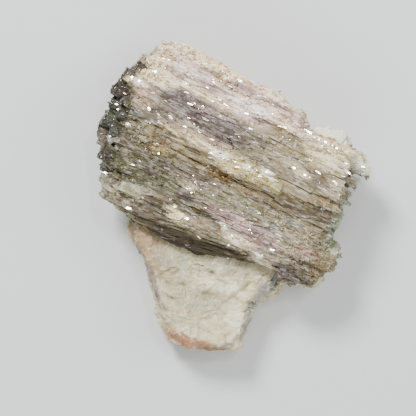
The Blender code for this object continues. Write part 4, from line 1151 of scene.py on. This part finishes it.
def sinking(points, normals):
    """How far the quartz reaches in under the tourmaline, across the crystals, where the two meet."""
    place = crystal_axes(points)
    way = np.where(place[:, 1] < 0.0, 1.0, -1.0)
    meets = rise(way * crystal_axes(normals)[:, 1], 0.1, 0.5) * rise(points[:, 2], 9.0, 10.5)
    reach = 2.0 + 2.0 * covered(place, [(15.0, -16.0, 6.0, 5.0)])
    return reach * way * meets


class SPECIMEN_OT_quartz_rock(bpy.types.Operator):
    """Weather the quartz into one milky rock"""

    bl_idname = "specimen.quartz_rock"
    bl_label = "Quartz Rock"

    def execute(self, context):
        settings = context.scene.specimen_quartz
        obj = even_copy(QUARTZ_NODE, "quartz_rock", settings.grid, 4)
        open_underside(obj, 0.05 * MM)
        points, normals = read_points(obj.data)
        lift, tone, depth = quartz_relief(points, normals, settings)
        free = rise(points[:, 2], 0.0, 1.5)
        foot = 1.0 - rise(points[:, 2], 0.0, 3.0)
        undercut = 0.5 * foot * (0.6 + 0.4 * cloud(points / 5.0, 161))
        moved = points + normals * (lift * free)[:, None] + normals * (1.0, 1.0, 0.0) * -undercut[:, None]
        moved += ACROSS * sinking(points, normals)[:, None]
        moved[:, 2] = np.where(points[:, 2] < 0.1, 0.0, moved[:, 2])
        write_points(obj.data, moved)
        write_value(obj.data, "tone", tone)
        write_value(obj.data, "depth", depth)
        close_underside(obj)
        finish_piece(obj, QUARTZ_NODE, quartz_finish(context.scene))
        return {"FINISHED"}


# --------------------------------------------------------------------------------------------- materials

class Value:
    """An output socket of a shader tree. Arithmetic on it adds Math nodes."""

    def __init__(self, finish, socket):
        self.finish = finish
        self.socket = socket

    def maths(self, operation, *values):
        return self.finish.node("ShaderNodeMath", {"operation": operation}, dict(enumerate(values)))

    def __add__(self, other):
        return self.maths("ADD", self, other)

    def __radd__(self, other):
        return self.maths("ADD", other, self)

    def __sub__(self, other):
        return self.maths("SUBTRACT", self, other)

    def __rsub__(self, other):
        return self.maths("SUBTRACT", other, self)

    def __mul__(self, other):
        return self.maths("MULTIPLY", self, other)

    def __rmul__(self, other):
        return self.maths("MULTIPLY", other, self)

    def times_plus(self, slope, start):
        return self.maths("MULTIPLY_ADD", self, slope, start)

    def rise(self, low, high, top=1.0, start=0.0):
        """The start value at low, top at high, and a soft change between."""
        settings = {"interpolation_type": "SMOOTHSTEP"}
        values = {"Value": self, "From Min": low, "From Max": high, "To Min": start, "To Max": top}
        return self.finish.node("ShaderNodeMapRange", settings, values)


class Finish:
    """One material and the nodes of its shader. Lengths are in millimetres."""

    def __init__(self, name):
        self.material = bpy.data.materials.new(name)
        self.material.use_nodes = True
        self.tree = self.material.node_tree
        self.shader = self.tree.nodes["Principled BSDF"]
        self.place = self.node("ShaderNodeTexCoord", output="Object")

    def node(self, kind, settings=None, values=None, output=0):
        """Adds a node: its settings first, then the values or links of its sockets."""
        made = self.tree.nodes.new(kind)
        for key, value in (settings or {}).items():
            setattr(made, key, value)
        for key, value in (values or {}).items():
            self.feed(made.inputs[key], value)
        return Value(self, made.outputs[output])

    def feed(self, target, value):
        """Links a socket to another, or sets the value on it."""
        if isinstance(value, Value):
            self.tree.links.new(value.socket, target)
        elif target.type == "RGBA" and len(value) == 3:
            target.default_value = (*value, 1.0)
        else:
            target.default_value = value

    def surface(self, sockets):
        """Sets or links the shader's own sockets."""
        for name, value in sockets.items():
            self.feed(self.shader.inputs[name], value)

    def bump(self, strength, distance, height):
        values = {"Strength": strength, "Distance": distance * MM, "Height": height}
        self.surface({"Normal": self.node("ShaderNodeBump", {}, values)})

    def turned(self, vector, turn, location=(0.0, 0.0, 0.0), scale=(1.0, 1.0, 1.0)):
        """Coordinates measured from a place in metres, turned about the vertical, in units of the scale."""
        values = {"Vector": vector, "Location": location, "Rotation": (0.0, 0.0, turn), "Scale": scale}
        return self.node("ShaderNodeMapping", {"vector_type": "TEXTURE"}, values)

    def mapped(self, vector, size, start=(0.0, 0.0, 0.0), turn=0.0):
        """Coordinates with one unit to each size, which is one length or three."""
        sizes = size if isinstance(size, tuple) else (size,) * 3
        return self.turned(vector, turn, [value * MM for value in start], [value * MM for value in sizes])

    def noise(self, vector, size, detail=2.0, roughness=0.5, start=(0.0, 0.0, 0.0), turn=0.0, output="Fac"):
        settings = {"noise_dimensions": "3D"}
        values = {"Vector": self.mapped(vector, size, start, turn), "Scale": 1.0, "Detail": detail,
                  "Roughness": roughness}
        return self.node("ShaderNodeTexNoise", settings, values, output)

    def voronoi(self, vector, feature, output):
        values = {"Vector": vector, "Scale": 1.0}
        return self.node("ShaderNodeTexVoronoi", {"feature": feature}, values, output)

    def cells(self, vector, size, start=(0.0, 0.0, 0.0)):
        """Random tones of scattered cells, one to a size."""
        return self.part(self.voronoi(self.mapped(vector, size, start), "F1", "Color"), "Color", 0)

    def borders(self, vector, size, start=(0.0, 0.0, 0.0)):
        """How far each place lies from the border of its cell."""
        return self.voronoi(self.mapped(vector, size, start), "DISTANCE_TO_EDGE", "Distance")

    def part(self, value, kind, index):
        """One part of a colour (kind Color) or of a vector (kind XYZ)."""
        return self.node("ShaderNodeSeparate" + kind, {}, {0: value}, index)

    def attribute(self, name, output="Fac"):
        return self.node("ShaderNodeAttribute", {"attribute_name": name}, output=output)

    def mix(self, share, a, b, blend="MIX"):
        """Colour a with a share of colour b."""
        settings = {"data_type": "RGBA", "blend_type": blend, "clamp_factor": True}
        made = self.node("ShaderNodeMix", settings, {0: share}, 2)
        node = made.socket.node
        self.feed(node.inputs[6], a)
        self.feed(node.inputs[7], b)
        return made

    def shaded(self, colour, factors):
        """A colour times three factors."""
        return self.mix(1.0, colour, factors, "MULTIPLY")

    def vector(self, operation, a, b):
        return self.node("ShaderNodeVectorMath", {"operation": operation}, {0: a, 1: b})

    def pushed(self, vector, push, amount):
        """Coordinates moved by a random colour: by up to half of the amount each way."""
        centred = self.vector("SUBTRACT", push, (0.5, 0.5, 0.5))
        return self.vector("ADD", vector, self.vector("MULTIPLY", centred, [value * MM for value in amount]))

    def warped(self, vector, amount, size):
        """Coordinates pushed about by noise of the given size along, across and up."""
        return self.pushed(vector, self.noise(vector, size, detail=3.0, output="Color"), amount)

    def jumped(self, vector, cells, amount):
        """Coordinates that jump by a random step from one cell to the next, so colours change in blocks."""
        return self.pushed(vector, self.voronoi(cells, "F1", "Color"), amount)

    def axes(self, vector, turn=0.0):
        """The first two coordinates, after a turn about the vertical."""
        first = self.part(self.turned(vector, turn), "XYZ", 0)
        return first, Value(self, first.socket.node.outputs[1])

    def zone(self, axes, place, turn, strength, softness=0.45):
        """Mask of an upright column with an elliptic section: strength inside, 0 outside."""
        x, y, length, width = (value * MM for value in place)
        u = x * math.cos(turn) + y * math.sin(turn)
        v = y * math.cos(turn) - x * math.sin(turn)
        a = axes[0].times_plus(1.0 / length, -u / length)
        b = axes[1].times_plus(1.0 / width, -v / width)
        reach = b.times_plus(b, a * a)
        return reach.rise((1.0 - softness) ** 2, (1.0 + softness) ** 2, 0.0, strength)


def paint_zones(finish, colour, vector, zones):
    """Lays soft zones of colour over a base colour, in order."""
    axes = {turn: finish.axes(vector, math.radians(turn)) for turn in {zone[5] for zone in zones}}
    for name, x, y, length, width, turn, strength in zones:
        mask = finish.zone(axes[turn], (x, y, length, width), math.radians(turn), strength)
        colour = finish.mix(mask, colour, PALETTE[name])
    return colour


def tourmaline_finish(scene):
    """Lilac heart, green and olive rind, pale grains and dark seams, with glassy crystal faces, some painted
    glints, and painted light and shade on the relief.
    """
    settings = scene.specimen_crystals
    finish = Finish("lilac and green tourmaline")
    tone, depth, gloss, tint = (finish.attribute(name) for name in LOOKS)
    along = finish.attribute("flow", "Vector")
    place = finish.turned(finish.place, AXIS)

    # colours of the face, then of the sides, with ragged borders
    ragged = finish.warped(place, (5.0, 1.3, 0.0), (4.0, 1.6, 4.0))
    blocks = finish.mapped(along, (2.6, 0.7, 0.7))
    jumped = finish.jumped(ragged, blocks, (1.8, 0.7, 0.0))
    colour = paint_zones(finish, tuple(settings.stone), jumped, FACE_ZONES)
    height = finish.part(ragged, "XYZ", "Z")
    side = 1.0 - height.rise(12.0 * MM, 16.0 * MM)
    colour = finish.mix(side * 0.8, colour, tuple(settings.rind))
    colour = paint_zones(finish, colour, ragged, DEEP_ZONES)

    # some crystals are yellower than the rest and some are pinker
    hues = finish.noise(along, (5.0, 1.4, 1.4), 2.0, 0.6)
    shift = 0.9 * (tint - 0.5) + 2.4 * (hues - 0.5)
    colour = finish.mix(shift.rise(0.0, 0.9, 0.9), colour, finish.shaded(colour, (1.04, 0.97, 0.66)))
    colour = finish.mix((0.0 - shift).rise(0.0, 0.9, 0.9), colour, finish.shaded(colour, (0.96, 0.86, 0.98)))

    # light and dark along the crystals: the depth term is painted light on raised crystals and painted shade
    # in hollows; the other terms are the crystals' own streaks and tones
    streaks = finish.noise(along, (3.0, 0.55, 0.55), 3.0, 0.65)
    bands = finish.cells(along, (7.0, 1.1, 1.1), (0.0, 1.0, 0.0))
    shreds = finish.cells(along, (2.2, 0.5, 0.5), (1.0, 2.0, 0.0))
    fibres = finish.noise(along, (12.0, 0.5, 0.5), 3.0, 0.62, (5.0, 0.0, 0.0))
    grit = finish.cells(along, (0.7, 0.42, 0.42))
    clumps = finish.noise(along, (2.8, 1.8, 1.8), 3.0, 0.6)
    mottles = finish.noise(finish.place, 0.9, 3.0, 0.65)
    paleness = finish.node("ShaderNodeRGBToBW", {}, {0: colour}).rise(0.25, 0.65)
    light = (0.6 * depth + 0.5 * (tone - 0.5) + 0.6 * (bands - 0.5) + 0.3 * (shreds - 0.5)
             + 0.35 * (grit - 0.5) + 0.7 * (streaks - 0.5) + 1.2 * (clumps - 0.5) + 1.3 * (mottles - 0.5))
    light = light * (1.0 + 1.1 * paleness)
    flank = finish.zone(finish.axes(place), (-5.0, -17.6, 17.0, 3.4), 0.0, 1.0)
    light = light * (1.0 - 0.7 * flank) + flank * (2.6 * (fibres - 0.5) - 0.3)
    # Pale strokes along the crystals: partly their own pale fibres, partly painted sheen on the striae.
    strokes = shreds.rise(0.70, 0.86)
    pale = finish.node("ShaderNodeGamma", {}, {0: colour, 1: 0.56})
    pale = finish.mix(0.10, pale, PALETTE["frost_and_highlight"])
    dark = finish.shaded(colour, (0.42, 0.36, 0.31))
    colour = finish.mix((0.0 - light).rise(-0.1 * paleness, 1.0, 0.95), colour, dark)
    colour = finish.mix(light.rise(0.0, 0.9, 0.95), colour, pale)
    colour = finish.mix(strokes * (1.0 - flank) * streaks.rise(0.42, 0.58, 0.6), colour, pale)

    # long dark cracks, and pale crossed ones at the lower right
    seams = finish.borders(along, (16.0, 2.6, 2.6), (3.0, 0.7, 0.0))
    cracks = (1.0 - seams.rise(0.012, 0.045)) * streaks.rise(0.40, 0.55, 0.35)
    colour = finish.mix(cracks, colour, finish.shaded(colour, (0.40, 0.32, 0.24)))
    lace = finish.borders(ragged, (3.6, 1.5, 2.0))
    fractured = finish.zone(finish.axes(place), (18.0, -2.5, 7.0, 5.5), 0.0, 0.65)
    colour = finish.mix((1.0 - lace.rise(0.02, 0.10)) * fractured * tone, colour, PALETTE["cream"])

    finish.surface({
        "Base Color": colour, "Roughness": 0.62 - 0.3 * gloss.rise(0.3, 0.8),
        "Coat Weight": gloss.rise(0.72, 0.88), "Coat Roughness": 0.08, "Coat IOR": 1.63,
        "Specular IOR Level": 0.2})
    fine = finish.noise(along, (2.4, 0.26, 0.26), 2.0, 0.6)
    rough = finish.noise(finish.place, 0.35, 2.0, 0.6)
    finish.bump(0.7, 0.14, 0.6 * fine + 0.4 * rough)
    return finish.material


def blunt_finish(name, body, zones):
    """Glassy blunt crystals with mottled domains of colour, and painted light and shade on their relief."""
    finish = Finish(name)
    tone, depth = finish.attribute("tone"), finish.attribute("depth")
    along = finish.attribute("flow", "Vector")
    place = finish.turned(finish.place, AXIS)
    ragged = finish.warped(place, (1.6, 1.6, 0.0), (2.4, 2.4, 2.4))
    colour = paint_zones(finish, body, ragged, zones)
    clouds = finish.noise(finish.place, 2.2, 4.0, 0.62)
    streaks = finish.noise(along, (2.4, 0.5, 0.5), 3.0, 0.6)
    grit = finish.cells(finish.place, 0.55)
    # The depth term is painted light on raised chips and painted shade in the pits.
    light = (1.6 * (clouds - 0.5) + 1.0 * (streaks - 0.5) + 0.4 * (tone - 0.5) + 0.4 * (grit - 0.5)
             + 1.2 * depth)
    pale = finish.node("ShaderNodeGamma", {}, {0: colour, 1: 0.62})
    colour = finish.mix((0.0 - light).rise(0.0, 0.8, 0.9), colour, finish.shaded(colour, (0.45, 0.42, 0.38)))
    colour = finish.mix(light.rise(0.0, 0.9, 0.85), colour, pale)
    finish.surface({
        "Base Color": colour, "Roughness": 0.34 + 0.3 * grit, "Coat Weight": 0.6, "Coat Roughness": 0.12,
        "Coat IOR": 1.6, "Specular IOR Level": 0.25})
    finish.bump(0.5, 0.12, 0.6 * streaks + 0.4 * grit)
    return finish.material


def flake_finish():
    """Pearly white cleavage."""
    finish = Finish("pearly flakes")
    tones = finish.noise(finish.place, 0.5, 2.0, 0.6)
    finish.surface({
        "Base Color": finish.mix(tones, PALETTE["cream"], PALETTE["white"]), "Roughness": 0.18,
        "Metallic": 0.2, "Coat Weight": 1.0, "Coat Roughness": 0.14, "IOR": 1.63})
    return finish.material


def quartz_finish(scene):
    """Milky quartz with cream and grey clouds, brown stains and a sugary grain, with painted shade in its
    creases and on its steep sides.
    """
    settings = scene.specimen_quartz
    finish = Finish("milky white quartz")
    place = finish.place
    tone, depth = finish.attribute("tone"), finish.attribute("depth")
    ragged = finish.warped(place, (3.0, 3.0, 3.0), (4.0, 4.0, 4.0))
    clouds = finish.noise(ragged, 6.0, 4.0, 0.62)
    veils = finish.noise(ragged, (6.0, 1.1, 2.0), 3.0, 0.6, turn=-0.35)
    mottles = finish.noise(place, 1.6, 4.0, 0.7, (7.0, 0.0, 0.0))
    yellow = finish.noise(ragged, 3.4, 3.0, 0.6, (0.0, 9.0, 0.0))
    colour = finish.mix(clouds.rise(0.42, 0.66, 0.65), tuple(settings.milk), PALETTE["quartz_shade"])
    colour = finish.mix(yellow.rise(0.52, 0.72, 0.55), colour, PALETTE["quartz_yellow"])
    colour = finish.mix((1.0 - veils).rise(0.52, 0.72, 0.55), colour, PALETTE["quartz_pale"])

    # the colours of the top spill a little way down over the sides, then fade
    height = finish.part(ragged, "XYZ", "Z")
    centred = finish.vector("SUBTRACT", ragged, (-4.0 * MM, -28.0 * MM, 0.0))
    spread = finish.node("ShaderNodeVectorMath", {"operation": "SCALE"}, {
        0: centred, 3: height.rise(0.0, 9.0 * MM, 0.0, 0.22)})
    colour = paint_zones(finish, colour, finish.vector("ADD", ragged, spread), QUARTZ_ZONES)

    grains = finish.noise(place, 0.5, 3.0, 0.7)
    # The depth term is painted light on raised chips and painted shade in the creases; grains, mottles and
    # tone are the quartz's own.
    light = 1.1 * depth + 0.4 * (tone - 0.5) + 1.5 * (grains - 0.5) + 2.0 * (mottles - 0.5)
    colour = finish.mix(light.rise(0.05, 0.7, 0.6), colour, PALETTE["quartz_pale"])
    dark = finish.shaded(colour, (0.66, 0.61, 0.53))
    colour = finish.mix((0.0 - light).rise(0.05, 0.7, 0.85), colour, dark)
    finish.surface({
        "Base Color": colour, "Roughness": 0.62 - 0.25 * tone, "Subsurface Weight": 0.12,
        "Subsurface Radius": (0.0016, 0.0014, 0.0011), "Subsurface Scale": 1.0})
    finish.bump(0.6, 0.14, grains)
    return finish.material


# ------------------------------------------------------------------------------------------------- stage

def area_light(name, place, width, power):
    """A round soft light that points at the middle of the specimen."""
    data = bpy.data.lights.new(name, "AREA")
    data.shape = "DISK"
    data.size = width
    data.energy = power
    lamp = new_object(name, data)
    lamp.location = place
    lamp.rotation_euler = (Vector((0.0, 0.0, 0.02)) - lamp.location).to_track_quat("-Z", "Y").to_euler()


class SPECIMEN_OT_stage(bpy.types.Operator):
    """Set the plain pale floor, the soft lights and the camera that looks straight down"""

    bl_idname = "specimen.stage"
    bl_label = "Stage"

    def execute(self, context):
        settings = context.scene.specimen_stage
        bm = bmesh.new()
        bmesh.ops.create_grid(bm, x_segments=1, y_segments=1, size=1.5)
        floor = new_object("floor", bm)
        finish = Finish("pale floor")
        finish.surface({"Base Color": tuple(settings.floor), "Roughness": 0.9, "Specular IOR Level": 0.1})
        floor.data.materials.append(finish.material)

        lens = bpy.data.cameras.new("camera")
        lens.sensor_width = 36.0
        lens.lens = lens.sensor_width * settings.distance / settings.width
        camera = new_object("camera", lens)
        top = CAD_BOX[1].z + settings.distance
        camera.location = Vector([value * MM for value in VIEW_CENTRE]) + UP * top
        context.scene.camera = camera

        area_light(*KEY_LIGHT, settings.key)
        for light in FILL_LIGHTS:
            area_light(*light)
        world = bpy.data.worlds.new("soft room")
        world.use_nodes = True
        background = world.node_tree.nodes["Background"].inputs
        background["Color"].default_value = (0.97, 0.985, 1.0, 1.0)
        background["Strength"].default_value = 0.45
        context.scene.world = world
        return {"FINISHED"}


class SPECIMEN_PT_panel(bpy.types.Panel):
    """Lists the specimen's parts"""

    bl_idname = "SPECIMEN_PT_panel"
    bl_label = "Tourmaline Specimen"
    bl_space_type = "VIEW_3D"
    bl_region_type = "UI"
    bl_category = "Specimen"

    def draw(self, context):
        for operator in OPERATORS:
            self.layout.operator(operator.bl_idname)
        for name in SETTINGS:
            group = getattr(context.scene, name)
            box = self.layout.box()
            for key in group.__annotations__:
                box.prop(group, key)


OPERATORS = (
    SPECIMEN_OT_stage, SPECIMEN_OT_crystal_mass, SPECIMEN_OT_crystal_prisms, SPECIMEN_OT_crystal_grains,
    SPECIMEN_OT_crystal_ends, SPECIMEN_OT_crystal_flakes, SPECIMEN_OT_quartz_rock)
SETTINGS = {
    "specimen_crystals": CrystalSettings,
    "specimen_quartz": QuartzSettings,
    "specimen_stage": StageSettings,
}
CLASSES = (*SETTINGS.values(), *OPERATORS, SPECIMEN_PT_panel)


def register():
    """Makes Blender know the settings, the operators and the panel."""
    for cls in CLASSES:
        bpy.utils.register_class(cls)
    for name, group in SETTINGS.items():
        setattr(bpy.types.Scene, name, PointerProperty(type=group))


def unregister():
    """Takes them away again."""
    for name in SETTINGS:
        delattr(bpy.types.Scene, name)
    for cls in reversed(CLASSES):
        bpy.utils.unregister_class(cls)


def main():
    """Builds the stage and every piece."""
    register()
    bpy.ops.specimen.stage()
    bpy.ops.specimen.crystal_mass()
    bpy.ops.specimen.crystal_prisms()
    bpy.ops.specimen.crystal_grains()
    bpy.ops.specimen.crystal_ends()
    bpy.ops.specimen.crystal_flakes()
    bpy.ops.specimen.quartz_rock()


if __name__ == "__main__":
    main()
